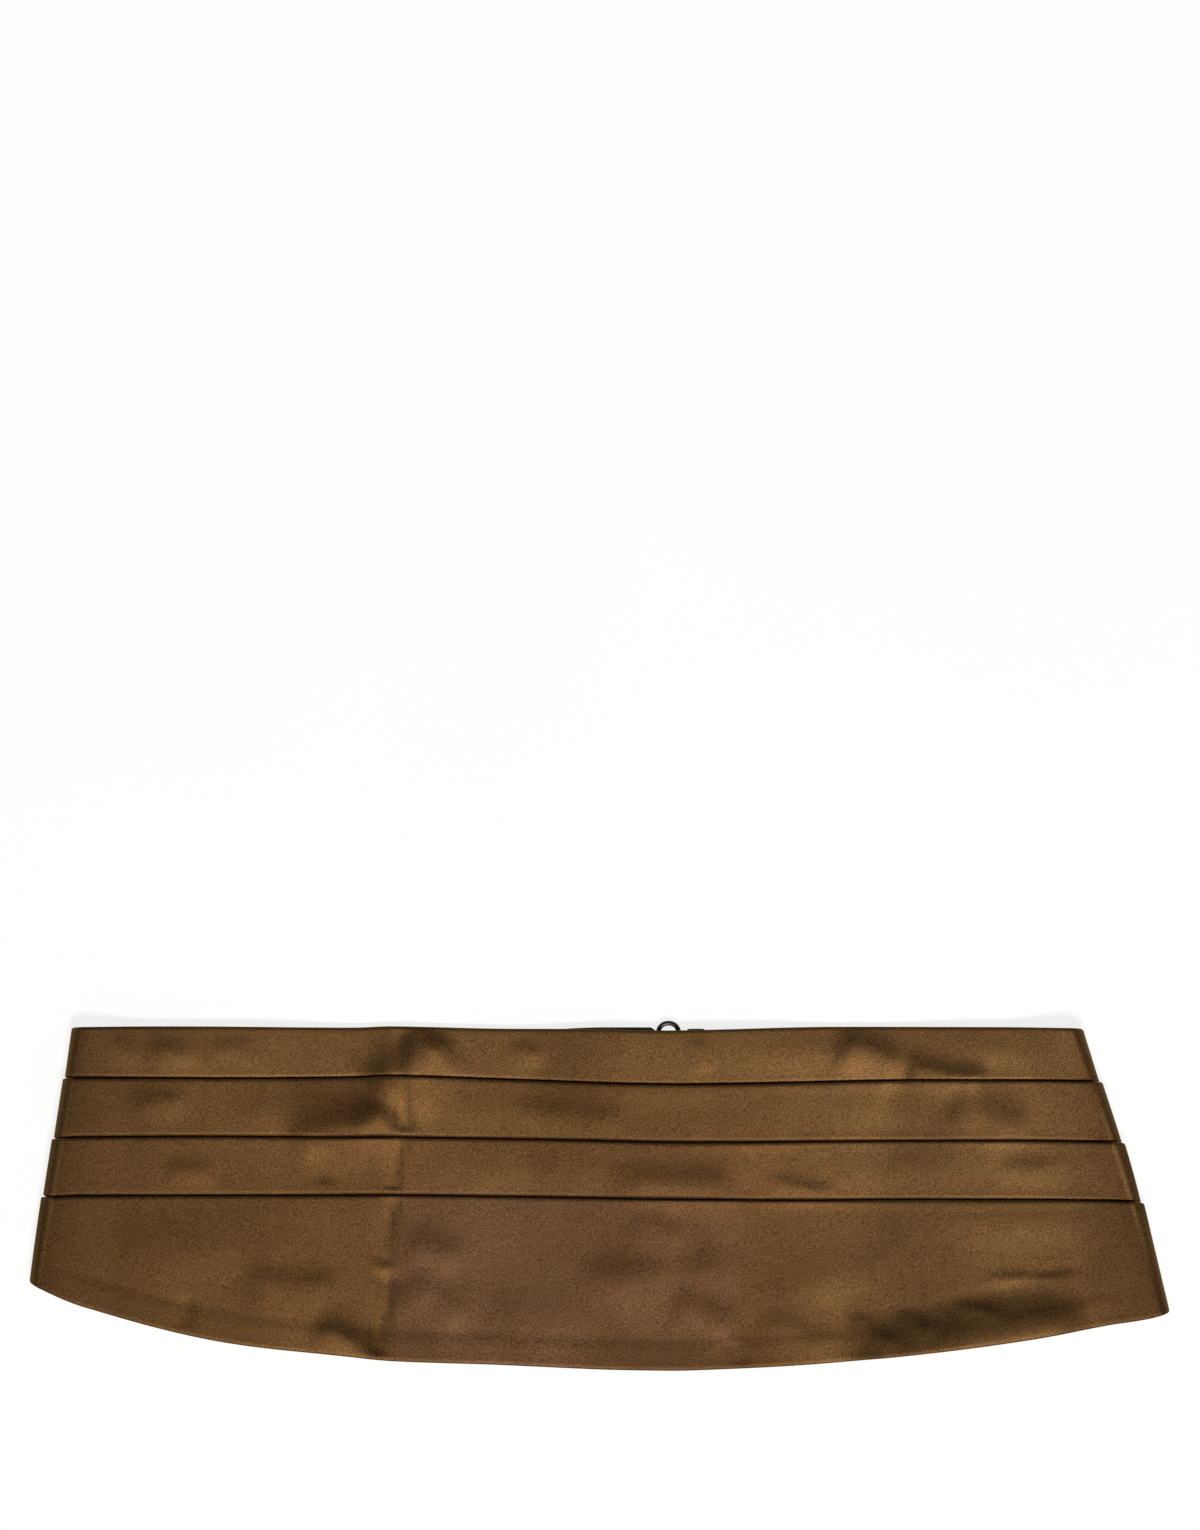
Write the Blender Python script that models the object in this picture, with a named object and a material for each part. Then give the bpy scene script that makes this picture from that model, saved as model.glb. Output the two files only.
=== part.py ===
"""A pleated satin cummerbund, fastened and laid flat with its face up.

One length of satin is laid in three pleats, which make four bands. Its two ends turn under at
slanted side folds. From them two halves of a narrow strap meet behind the top edge, in a wire
loop and a flat hook. X runs from side to side, Y to the edge that the pleats open towards, and Z
up from the surface. The origin lies on that surface, under the middle of the outline.
"""

import math
from typing import NamedTuple

import bmesh
import bpy
from mathutils import Vector

MM = 0.001

# Cloth
CLOTH = 1.0 * MM  # one thickness of satin with its interfacing
GAP = 0.3 * MM  # between layers, and between pieces
LAYER = CLOTH + GAP  # from one layer to the next
TURN_RADIUS = LAYER / 2  # middle of the cloth round a pressed edge
EDGE = TURN_RADIUS + CLOTH / 2  # from a pressed edge to the centre of its turn
TURN_ANGLES = (-90, -30, 30, 90)
PLEAT_DEPTH = 8.0 * MM  # how far a pleat runs down behind the band in front of it
HEM_DEPTH = 9.0 * MM
SETTLE = 0.45  # part of a band, below its pleat, over which it sinks towards the layer below
SUNK_UPPER = 0.45  # layers still under a narrow band there
SUNK_LAST = 0.3  # layers still under the deep band there
VALLEY = 4.5 * MM  # height of the last low place of a band above the next pressed edge
VALLEY_UNDER = 0.05  # layers under it
RIDGE = 2.2 * MM  # height of the soft ridge above that edge
RIDGE_UNDER = 0.35  # layers under it
RIDGE_OVER = 0.03  # layers over it, where the panel lies on its face
TUCK = 0.3 * MM  # height at which the band has gone under that edge
MITRE_LIMIT = 0.6  # least cosine that a corner of the wall is mitred by


class Section(NamedTuple):
    """Where the pleated panel's edges run, at one place along it, in millimetres."""

    x: float
    top: float
    pleat_1: float
    pleat_2: float
    pleat_3: float
    bottom: float


# The rows past the side folds, beyond about 200 either way, are the ends that turn under.
SECTIONS = (
    Section(-310, 64.2, 51.0, 38.0, 26.0, 3.5),
    Section(-262, 64.6, 49.0, 31.5, 14.0, -15.5),
    Section(-220, 64.8, 45.9, 22.9, 0.6, -33.8),
    Section(-200, 65.4, 45.8, 22.8, 0.2, -42.5),
    Section(-150, 65.5, 45.4, 23.0, 0.2, -55.6),
    Section(-95, 65.0, 45.7, 22.6, 0.2, -62.4),
    Section(-80, 65.5, 46.4, 22.6, 0.2, -64.0),
    Section(-40, 64.6, 45.0, 22.0, -0.3, -65.4),
    Section(0, 64.5, 43.6, 21.3, -0.9, -67.2),
    Section(18, 64.0, 43.2, 20.9, -1.2, -67.6),
    Section(35, 64.1, 43.1, 20.7, -1.4, -67.6),
    Section(80, 65.2, 43.8, 20.9, -1.8, -65.4),
    Section(120, 65.3, 44.6, 21.2, -1.4, -61.6),
    Section(165, 65.2, 44.6, 21.4, -1.4, -55.6),
    Section(195, 64.8, 44.4, 21.1, -1.6, -50.1),
    Section(220, 64.2, 44.6, 21.2, -1.6, -44.9),
    Section(245, 63.8, 46.0, 26.5, 6.5, -31.0),
    Section(280, 63.5, 49.0, 33.0, 16.0, -5.0),
)
EDGES = ("top", "pleat_1", "pleat_2", "pleat_3", "bottom")


class FoldLine(NamedTuple):
    """Where the centre of each side fold runs, at one height on the panel, in millimetres."""

    y: float
    left: float
    right: float


FOLD_LINES = (
    FoldLine(-45, -217.8, 216.0),
    FoldLine(-20, -214.1, 209.4),
    FoldLine(2, -210.5, 203.5),
    FoldLine(23, -206.6, 196.6),
    FoldLine(46, -202.4, 188.1),
    FoldLine(66, -198.9, 180.8),
)


class Side(NamedTuple):
    """One side fold and the end that it turns under."""

    name: str
    out: int  # which way along X is outwards
    slant: float  # of the fold from Y, in radians
    step: float  # by how much a band's top stands out past the band above it
    reach: float  # of the turned end, square to the fold


LEFT = Side("left", -1, math.radians(9.8), 0.6 * MM, 74 * MM)
RIGHT = Side("right", 1, math.radians(17.0), 1.0 * MM, 40 * MM)
FOLD_RADIUS = 4.0 * MM  # of the satin's face round a side fold, at the foot of a band
MEAN_RADIUS = 4.3 * MM  # the same, averaged over a band
ARC_STEPS = 6
FRONT_STATIONS = (
    (0, 0.012, 0.03, 0.055, 0.09, 0.14, 0.20, 0.26, 0.305, 0.36, 0.42, 0.48, 0.54, 0.59, 0.64)
    + (0.69, 0.74, 0.80, 0.86, 0.91, 0.945, 0.97, 0.988, 1)
)
END_STATIONS = (0.08, 0.35, 0.68, 1.0)  # along a turned end
FOLD_SWELL = 0.07  # part of the front, at each side, over which it rises to the fold
END_SECTION = 250 * MM  # place on the flat panel that a turned end's top edge is read at

# What lies under the front and holds it up
OVER_ENDS = 4.0 * MM  # height of the front's back over a turned end
OVER_STRAP = 1.7 * MM
OVER_CLOSURE = 5.5 * MM
ENDS_STOP = (-132 * MM, 150 * MM)  # where the turned ends stop, on X
SLOPE = 60 * MM  # over which the front comes down beside what holds it up
STRAP_RISE = (-50 * MM, 48 * MM)  # on Y, from where the front starts to rise to its full height
CLOSURE_X = 31 * MM  # middle of the loop and the hook
CLOSURE_RISE = (-60 * MM, 43 * MM)  # the same over them
CLOSURE_HOLD = 1.3  # slopes from their middle at which the front is down again
STACKING = 4  # power that blends the heights, so that the largest of them counts

# Strap, wire loop and hook
STRAP = 1.0 * MM  # its thickness
STRAP_WIDTH = 16.2 * MM
DRAWN_IN = 12.6 * MM  # width of the left half inside the loop's round ends
DRAWN_LENGTH = 5.0 * MM  # over which it widens again
LEFT_STRAP_Y = 56.95 * MM  # its middle at the loop, pushed up against the loop's end
STRAP_Z = 0.55 * MM  # its middle, where it lies on the surface
SEWN_BACK = 14 * MM  # length turned back round the loop or the hook
STRAP_STRAIGHT = 20 * MM  # length of each half that runs straight out of the closure
STRAP_STEP = 7 * MM
LAP_STARTS = 9 * MM  # where the strap has come down onto its sewn-back end
LAP_CLEAR = 2 * MM  # by which it runs on level past the cut of that end
STRAP_BEND = 0.36  # share of its width on X that its curve takes at each end
LAP_ENDS = 24 * MM  # where it has come down past that end
SEAM_RISE = 25 * MM  # length over which it rises to the middle of a turned end's layers
SEAM_Z = (3 * CLOTH + 2 * GAP) / 2
STRAP_FROM_CORNER = {"left": 13.0 * MM, "right": 9.5 * MM}  # its middle, down a turned end
STRAP_LEAN = math.radians(20)  # how steeply it rises from a turned end
WIRE = 1.9 * MM
LOOP_X = 26.6 * MM
LOOP_Y = 55.4 * MM
LOOP_WIDTH = 9.7 * MM
LOOP_HEIGHT = 24.4 * MM
LOOP_Z = 2.4 * MM
LOOP_CORNER = 3.6 * MM  # to the middle of the wire
CORNER_STEPS = 6
HOOK_PLATE = 1.0 * MM
HOOK_Y = 55.4 * MM
HOOK_WIDTH = 18.3 * MM
TONGUE_WIDTH = 14.2 * MM  # of the end that turns round the loop's straight bar
TONGUE_LENGTH = 2.2 * MM  # from that bar to the shoulder of the plate
HOOK_LIP = 3.0 * MM  # how far it returns under the loop
BAR_X = 40.2 * MM  # the hook's bar, which the strap goes round
BAR_Z = 2.6 * MM
BAR_WIDTH = 2.0 * MM
SLOT_WIDTH = 1.9 * MM
SLOT_CUT = 10.0 * MM  # height of what cuts the slot, well through the plate
WRAP_STEP = 30  # degrees between the flat steps of a turn round a bar


class Node(NamedTuple):
    """A point on the middle of the cloth, within one band."""

    band: int
    down: float  # from the band's top edge
    under: float  # layers between it and what the panel lies on
    over: float  # layers between it and the satin that shows


def mix(first, last, share):
    return first + (last - first) * share


def smooth(value):
    """0 below 0, 1 above 1, and a soft step between."""
    value = min(max(value, 0.0), 1.0)
    return value * value * (3 - 2 * value)


def read(rows, column, at):
    """The value of a table's column between its rows, in metres, on a smooth curve through them."""
    keys = [row[0] * MM for row in rows]
    values = [getattr(row, column) * MM for row in rows]
    last = len(rows) - 1
    i = min(max(sum(key <= at for key in keys) - 1, 0), last - 1)

    def slope(k):
        a, b = max(k - 1, 0), min(k + 1, last)
        return (values[b] - values[a]) / (keys[b] - keys[a])

    span = keys[i + 1] - keys[i]
    t = (at - keys[i]) / span
    if not 0 <= t <= 1:
        end = i if t < 0 else i + 1
        return values[end] + slope(end) * (at - keys[end])
    a, b = slope(i) * span, slope(i + 1) * span
    rise = values[i + 1] - values[i]
    return values[i] + t * (a + t * (3 * rise - 2 * a - b + t * (a + b - 2 * rise)))


# ---------------------------------------------------------------- the cloth's folded section


def turn(band, centre, towards, start, end):
    """A pressed edge: half a circle from one layer to the next. towards is 1 down the band."""
    nodes = []
    for angle in TURN_ANGLES:
        share = (1 + math.sin(math.radians(angle))) / 2
        down = centre + towards * TURN_RADIUS * math.cos(math.radians(angle))
        nodes.append(Node(band, down, mix(start[0], end[0], share), mix(start[1], end[1], share)))
    return nodes


def band_nodes(band, height):
    """One band, from what lies behind its top edge to the next pressed edge or the lower hem."""
    if band == 0:
        covered = HEM_DEPTH
        nodes = [Node(band, HEM_DEPTH, 0, 1)]
        nodes += turn(band, EDGE, -1, (0, 1), (1, 0))
        nodes.append(Node(band, covered, 1, 0))
    else:
        covered = PLEAT_DEPTH
        nodes = turn(band, PLEAT_DEPTH - EDGE, 1, (0, 2), (1, 1))
        nodes += turn(band, EDGE, -1, (1, 1), (2, 0))
        nodes.append(Node(band, covered, 2, 0))
    if band == len(EDGES) - 2:
        settled = height - HEM_DEPTH - VALLEY
        nodes.append(Node(band, mix(covered, settled, SETTLE), SUNK_LAST, 0))
        nodes.append(Node(band, settled, 0, 0))
        nodes.append(Node(band, height - HEM_DEPTH, 1, 0))
        nodes += turn(band, height - EDGE, 1, (1, 0), (0, 1))
        nodes.append(Node(band, height - HEM_DEPTH, 0, 1))
    else:
        nodes.append(Node(band, mix(covered, height - VALLEY, SETTLE), SUNK_UPPER, 0))
        nodes.append(Node(band, height - VALLEY, VALLEY_UNDER, 0))
        nodes.append(Node(band, height - RIDGE, RIDGE_UNDER, RIDGE_OVER))
        nodes.append(Node(band, height - TUCK, 0, 2))
    return nodes


def sides_of(line, thickness):
    """The two faces of a wall whose middle is this line of (across, height) points."""
    right, left = [], []
    for i, point in enumerate(line):
        before = (point - line[i - 1]).normalized() if i else None
        after = (line[i + 1] - point).normalized() if i < len(line) - 1 else before
        before = before or after
        middle = (before + after).normalized()
        reach = thickness / 2 / max(middle.dot(after), MITRE_LIMIT)
        normal = Vector((middle.y, -middle.x)) * reach
        right.append(point + normal)
        left.append(point - normal)
    return right, left


class Profile:
    """The folded section at one place along the panel, lying on its back and on its face."""

    def __init__(self, place):
        """place gives the X, on the flat panel, of the point at a height on this section."""
        edges = [read(SECTIONS, name, place(0)) for name in EDGES]
        for _ in range(4):
            edges = [read(SECTIONS, name, place(v)) for name, v in zip(EDGES, edges)]
        heights = [upper - lower for upper, lower in zip(edges, edges[1:])]
        nodes = [node for k, height in enumerate(heights) for node in band_nodes(k, height)]
        self.shares = [min(max(node.down / heights[node.band], 0), 1) for node in nodes]
        across = [edges[node.band] - node.down for node in nodes]
        half = CLOTH / 2
        lying = [Vector((v, half + LAYER * node.under)) for v, node in zip(across, nodes)]
        faced = [Vector((v, -half - LAYER * node.over)) for v, node in zip(across, nodes)]
        self.lying = sides_of(lying, CLOTH)
        self.faced = sides_of(faced, CLOTH)

    def points(self, put):
        """put makes a point of (share down the band, lying point, faced point)."""
        rows = [
            [put(share, a, b) for share, a, b in zip(self.shares, self.lying[face], self.faced[face])]
            for face in (0, 1)
        ]
        return rows[0] + rows[1][::-1]


# ---------------------------------------------------------------- the panel laid out


def fold_x(side, y):
    return read(FOLD_LINES, side.name, y)


def fold_axes(side):
    """Unit vectors square to the fold, outwards, and along it, upwards."""
    square = Vector((side.out * math.cos(side.slant), math.sin(side.slant), 0))
    along = Vector((-side.out * math.sin(side.slant), math.cos(side.slant), 0))
    return square, along


def radius_at(side, share):
    """Of the satin's face round the fold: each band stands out past the one above it."""
    return FOLD_RADIUS + side.step * (1 - share)


def rise_between(places, at):
    """0 before the first place and 1 after the last."""
    return smooth((at - places[0]) / (places[1] - places[0]))


def support(x, y):
    """Height of the front's back above the surface, over what lies under it."""
    over_left = smooth((ENDS_STOP[0] + SLOPE - x) / SLOPE)
    over_right = smooth((x - ENDS_STOP[1] + SLOPE) / SLOPE)
    strap = rise_between(STRAP_RISE, y)
    closure = smooth(CLOSURE_HOLD - abs(x - CLOSURE_X) / SLOPE) * rise_between(CLOSURE_RISE, y)
    heights = [OVER_ENDS * over_left, OVER_ENDS * over_right]
    heights += [OVER_STRAP * strap, OVER_CLOSURE * closure]
    return sum(height**STACKING for height in heights) ** (1 / STACKING)


def front_column(station):
    """The section at a part of the way from the left fold to the right one."""
    side = LEFT if station < 0.5 else RIGHT
    swell = 1 - smooth(min(station, 1 - station) / FOLD_SWELL)

    def place(y):
        return mix(fold_x(LEFT, y), fold_x(RIGHT, y), station)

    def put(share, lying, faced):
        y = mix(lying.x, faced.x, swell)
        x = place(y)
        z = mix(support(x, y) + lying.y, 2 * radius_at(side, share) + faced.y, swell)
        return Vector((x, y, z))

    return Profile(place).points(put)


def turned_column(side, distance):
    """The section at a distance past the fold line, measured round the fold and square to it."""
    square, along = fold_axes(side)
    half_turn = math.pi * MEAN_RADIUS

    def place(y):
        return fold_x(side, y) + side.out * distance / math.cos(side.slant)

    def put(share, _, faced):
        radius = radius_at(side, share)
        start = Vector((fold_x(side, faced.x), faced.x, 0))
        foot = start - along * distance * math.tan(side.slant)
        if distance > half_turn:
            return foot - square * (distance - half_turn) - Vector((0, 0, faced.y))
        angle = distance / MEAN_RADIUS
        arm = radius + faced.y
        rise = Vector((0, 0, radius + arm * math.cos(angle)))
        return foot + square * arm * math.sin(angle) + rise

    return Profile(place).points(put)


def turned_distances(side):
    half_turn = math.pi * MEAN_RADIUS
    arc = [half_turn * k / ARC_STEPS for k in range(1, ARC_STEPS + 1)]
    return arc + [half_turn + side.reach * share for share in END_STATIONS]


def end_corner(side):
    """The upper corner of a turned end, and the unit vectors of its fold."""
    square, along = fold_axes(side)
    distance = math.pi * MEAN_RADIUS + side.reach
    y = read(SECTIONS, "top", side.out * END_SECTION)
    start = Vector((fold_x(side, y), y, 0))
    return start - along * distance * math.tan(side.slant) - square * side.reach, square, along


# ---------------------------------------------------------------- meshes


def make_object(name, points, faces, material, smooth_angle=None):
    mesh = bpy.data.meshes.new(name)
    mesh.from_pydata(points, [], faces)
    shape = bmesh.new()
    shape.from_mesh(mesh)
    bmesh.ops.recalc_face_normals(shape, faces=shape.faces)
    shape.to_mesh(mesh)
    shape.free()
    if smooth_angle:
        mesh.shade_smooth()
        mesh.set_sharp_from_angle(angle=math.radians(smooth_angle))
    mesh.materials.append(material)
    built = bpy.data.objects.new(name, mesh)
    bpy.context.scene.collection.objects.link(built)
    return built


def wall_from_rings(name, rings, material, smooth_angle=None):
    """A closed wall through rings, each one face of the wall and then the other, back again."""
    count = len(rings[0])
    points = [point for ring in rings for point in ring]
    faces = []
    for j in range(len(rings) - 1):
        for i in range(count):
            near, far = j * count + i, j * count + (i + 1) % count
            faces.append((near, far, far + count, near + count))
    last = (len(rings) - 1) * count
    for i in range(count // 2 - 1):
        first_cap = (i, count - 1 - i, count - 2 - i, i + 1)
        faces.append(first_cap)
        faces.append(tuple(last + k for k in reversed(first_cap)))
    return make_object(name, points, faces, material, smooth_angle)


def material(name, colour, roughness, metallic=0.0):
    made = bpy.data.materials.new(name)
    made.use_nodes = True
    shader = made.node_tree.nodes["Principled BSDF"]
    shader.inputs["Base Color"].default_value = (*colour, 1)
    shader.inputs["Roughness"].default_value = roughness
    shader.inputs["Metallic"].default_value = metallic
    return made


# ---------------------------------------------------------------- the pieces


def pleated_panel(satin):
    """The satin panel, from the left end that is turned under to the right one."""
    rings = [turned_column(LEFT, distance) for distance in reversed(turned_distances(LEFT))]
    rings += [front_column(station) for station in FRONT_STATIONS]
    rings += [turned_column(RIGHT, distance) for distance in turned_distances(RIGHT)]
    return wall_from_rings("pleated_panel", rings, satin, 35)


def strap_route(side, start):
    """Plan points of the strap's middle from the closure to a turned end, and that end's edge."""
    corner, square, along = end_corner(side)
    end = corner - along * STRAP_FROM_CORNER[side.name]
    reach = abs(end.x - start.x) * STRAP_BEND
    middle_1 = start + Vector((side.out * reach, 0, 0))
    middle_2 = end + Vector((-side.out * math.cos(STRAP_LEAN), math.sin(STRAP_LEAN), 0)) * reach
    count = round((end - start).length / STRAP_STEP)
    route = []
    for k in range(count + 1):
        t = k / count
        a, b = start.lerp(middle_1, t), middle_1.lerp(middle_2, t)
        c = middle_2.lerp(end, t)
        route.append(a.lerp(b, t).lerp(b.lerp(c, t), t))
    return route, end - square * GAP, square


class Route:
    """A strap half's middle in plan, by the length along it from the bar that it is sewn round."""

    def __init__(self, side, bar_x, bar_y, width):
        """width is the strap's own where it goes round the bar."""
        self.width = width
        start = Vector((bar_x + side.out * STRAP_STRAIGHT, bar_y, 0))
        points, self.seam, self.square = strap_route(side, start)
        self.points = [Vector((bar_x, bar_y, 0))] + points
        self.run = [0.0]
        for a, b in zip(self.points, self.points[1:]):
            self.run.append(self.run[-1] + (b - a).length)
        self.length = self.run[-1]

    def heading(self, k):
        """Unit direction outwards at one of the route's points."""
        before, after = self.points[max(k - 1, 0)], self.points[min(k + 1, len(self.points) - 1)]
        return (after - before).normalized()

    def at(self, length):
        k = min(max(sum(run <= length for run in self.run) - 1, 0), len(self.run) - 2)
        share = (length - self.run[k]) / (self.run[k + 1] - self.run[k])
        heading = self.heading(k).lerp(self.heading(k + 1), min(max(share, 0), 1)).normalized()
        return self.points[k].lerp(self.points[k + 1], share), heading

    def edge_point(self, length, edge, last):
        """A point on the strap's edge. The last one lies on the cut, along the turned end."""
        middle, heading = self.at(length)
        aside = edge * mix(self.width, STRAP_WIDTH, smooth(length / DRAWN_LENGTH)) / 2
        place = middle + Vector((-heading.y, heading.x, 0)) * aside
        if last:
            place += heading * (self.seam - place).dot(self.square) / heading.dot(self.square)
        return place


def wrap_radius(core, thickness):
    """To the middle of what turns round a bar, so that its flat steps still clear the bar."""
    return (core + GAP + thickness / 2) / math.cos(math.radians(WRAP_STEP / 2))


def strap_line(route, bar_z, wrap):
    """The strap's middle as (length, height): sewn back, round the bar, and out to the seam."""
    line = [Vector((SEWN_BACK, STRAP_Z)), Vector((SEWN_BACK / 2, STRAP_Z))]
    for angle in range(-90, 91, WRAP_STEP):
        turned = math.radians(angle)
        line.append(Vector((-wrap * math.cos(turned), bar_z + wrap * math.sin(turned))))
    line += [Vector((LAP_STARTS, STRAP_Z + LAYER)), Vector((SEWN_BACK + LAP_CLEAR, STRAP_Z + LAYER))]
    line.append(Vector((LAP_ENDS, STRAP_Z)))
    line += [Vector((s, STRAP_Z)) for s in route.run if LAP_ENDS < s < route.length - SEAM_RISE]
    line.append(Vector((route.length, SEAM_Z)))
    return line


def strap_half(name, side, bar, wrap, width, ribbon):
    """One half of the strap, from the bar of the loop or hook to a turned end of the panel."""
    route = Route(side, bar.x, bar.y, width)
    faces = sides_of(strap_line(route, bar.z, wrap), STRAP)
    rings = []
    for edge in (-1, 1):
        ring = []
        for face in faces:
            lasts = [False] * (len(face) - 1) + [True]
            places = [route.edge_point(p.x, edge, last) for p, last in zip(face, lasts)]
            ring.append([Vector((at.x, at.y, p.y)) for at, p in zip(places, face)])
        rings.append(ring[0] + ring[1][::-1])
    return wall_from_rings(name, rings, ribbon, 40)


def closure_loop(metal):
    """The rounded wire loop that one strap half is sewn round and the other hooks onto."""
    bar = bpy.data.curves.new("closure_loop", "CURVE")
    bar.dimensions = "3D"
    bar.bevel_depth = WIRE / 2
    bar.bevel_resolution = 2
    bar.resolution_u = 1
    spline = bar.splines.new("POLY")
    half_x, half_y = (LOOP_WIDTH - WIRE) / 2, (LOOP_HEIGHT - WIRE) / 2
    path = []
    for quarter, (sign_x, sign_y) in enumerate(((1, 1), (-1, 1), (-1, -1), (1, -1))):
        centre = Vector((sign_x * (half_x - LOOP_CORNER), sign_y * (half_y - LOOP_CORNER)))
        for step in range(CORNER_STEPS + 1):
            angle = math.radians(90 * (quarter + step / CORNER_STEPS))
            path.append(centre + LOOP_CORNER * Vector((math.cos(angle), math.sin(angle))))
    spline.points.add(len(path) - 1)
    for point, place in zip(spline.points, path):
        point.co = (place.x + LOOP_X, place.y + LOOP_Y, LOOP_Z, 1)
    spline.use_cyclic_u = True
    spline.use_smooth = True
    bar.materials.append(metal)
    built = bpy.data.objects.new("closure_loop", bar)
    bpy.context.scene.collection.objects.link(built)
    return built


def closure_hook(metal):
    """A flat hook: its lip turns under the loop, and its other end has a bar for the strap."""
    centre_x = LOOP_X + (LOOP_WIDTH - WIRE) / 2
    wrap = wrap_radius(WIRE / 2, HOOK_PLATE)
    line = [Vector((centre_x + HOOK_LIP, LOOP_Z - wrap))]
    for angle in range(270, 89, -WRAP_STEP):
        turned = math.radians(angle)
        line.append(Vector((centre_x + wrap * math.cos(turned), LOOP_Z + wrap * math.sin(turned))))
    shoulder = len(line)
    line.append(Vector((centre_x + TONGUE_LENGTH, LOOP_Z + wrap)))
    line.append(Vector((BAR_X - SLOT_WIDTH - 2 * HOOK_PLATE, BAR_Z)))
    line.append(Vector((BAR_X + BAR_WIDTH / 2, BAR_Z)))
    widths = [TONGUE_WIDTH] * shoulder + [HOOK_WIDTH] * (len(line) - shoulder)
    faces = sides_of(line, HOOK_PLATE)
    rings = []
    for edge in (0.5, -0.5):
        ring = [
            [Vector((point.x, HOOK_Y + width * edge, point.y)) for point, width in zip(face, widths)]
            for face in faces
        ]
        rings.append(ring[0] + ring[1][::-1])
    built = wall_from_rings("closure_hook", rings, metal, 40)
    cut_slot(built)
    return built


def cut_slot(hook):
    """The slot between the hook's plate and its bar, with a rim left at each end."""
    shape = bmesh.new()
    bmesh.ops.create_cube(shape, size=1)
    size = Vector((SLOT_WIDTH, STRAP_WIDTH + 2 * GAP, SLOT_CUT))
    bmesh.ops.scale(shape, vec=size, verts=shape.verts)
    mesh = bpy.data.meshes.new("slot_cutter")
    shape.to_mesh(mesh)
    shape.free()
    cutter = bpy.data.objects.new("slot_cutter", mesh)
    cutter.location = (BAR_X - (BAR_WIDTH + SLOT_WIDTH) / 2, HOOK_Y, BAR_Z)
    cutter.hide_render = True
    cutter.display_type = "WIRE"
    bpy.context.scene.collection.objects.link(cutter)
    cut = hook.modifiers.new("slot", "BOOLEAN")
    cut.operation = "DIFFERENCE"
    cut.object = cutter


def main():
    for old in list(bpy.data.objects):
        bpy.data.objects.remove(old)
    satin = material("bronze_satin", (0.155, 0.090, 0.040), 0.42)
    ribbon = material("navy_ribbon", (0.012, 0.013, 0.024), 0.45)
    metal = material("black_wire", (0.015, 0.015, 0.016), 0.35, 0.6)
    pleated_panel(satin)
    loop_bar = Vector((LOOP_X - (LOOP_WIDTH - WIRE) / 2, LEFT_STRAP_Y, LOOP_Z))
    strap_half("strap_left", LEFT, loop_bar, wrap_radius(WIRE / 2, STRAP), DRAWN_IN, ribbon)
    hook_bar = Vector((BAR_X, HOOK_Y, BAR_Z))
    bar_corner = math.hypot(BAR_WIDTH / 2, HOOK_PLATE / 2)
    strap_half("strap_right", RIGHT, hook_bar, wrap_radius(bar_corner, STRAP), STRAP_WIDTH, ribbon)
    closure_loop(metal)
    closure_hook(metal)


main()
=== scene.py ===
"""The looks of a pleated satin cummerbund, fastened and laid flat with its face up.

The satin is a thin shell on its solid's form, with its creases placed one by one. X runs from side
to side, Y to the edge that the pleats open towards, and Z up from the surface that it lies on.
"""

import math
from typing import NamedTuple

import bmesh
import bpy
import numpy as np
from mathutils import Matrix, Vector


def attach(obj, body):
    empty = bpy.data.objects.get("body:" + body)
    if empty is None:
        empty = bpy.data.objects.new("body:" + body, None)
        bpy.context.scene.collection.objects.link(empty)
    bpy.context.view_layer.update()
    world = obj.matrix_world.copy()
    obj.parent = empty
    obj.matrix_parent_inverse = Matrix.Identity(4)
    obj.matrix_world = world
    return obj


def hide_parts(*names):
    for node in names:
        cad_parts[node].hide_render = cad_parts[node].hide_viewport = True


MM = 0.001

# ---------------------------------------------------------------- sizes

# the cloth, its pleats and hems
CLOTH = 0.55 * MM  # one thickness of satin with its interfacing
LAYER = 1.0 * MM  # from one layer to the next
TURN_REACH = 0.38 * MM  # of the middle of the cloth, round a pressed edge
EDGE = TURN_REACH + CLOTH / 2  # from a pressed edge to the centre of its turn
PLEAT_DEPTH = 8.0 * MM
HEM_DEPTH = 9.0 * MM
LIFTED = 0.5 * MM  # from what the front lies on to the middle of its lowest layer
HEM_LIFT = 0.86  # layers under the deep band where its hem begins
BAND_LAYERS = ((1, 0.35), (2, 0.95), (2, 0.95))  # under a narrow band, at its upper and lower end
DIVE = 1.15 * MM  # from a pressed edge, where the cloth above it starts to sink behind it
SINK = 0.55 * MM  # length over which it sinks
SINK_LEFT = 0.2 * MM  # from the pressed edge, where it has sunk

# the shell's points down the section
TURN_STEP = 30  # degrees, round a pressed edge
FIELD_FROM = 0.9 * MM  # from the centre of a turn to the first point that shows
FIELD_STEP = 1.75 * MM
FIELD_LENGTHS = (14 * MM, 16 * MM, 16 * MM, 52 * MM)  # about what shows of each band
RIM = 5.2 * MM  # the part by the next pressed edge, where points are closer
RIM_STEP = 0.72 * MM
RIM_LEFT = 0.25 * MM  # from the last point that shows to that edge
HEM_FROM = 3 * MM  # above the hem's cut edge, where the deep band starts to rise onto it
HEM_OVER = 1 * MM  # below that edge, where it has risen
HEM_STEPS = 4
LEAST_MITRE = 0.7  # keeps the wall's corners short


class Section(NamedTuple):
    """Where the pleated panel's edges run, at one place along it, in millimetres."""

    x: float
    top: float
    pleat_1: float
    pleat_2: float
    pleat_3: float
    bottom: float


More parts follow.
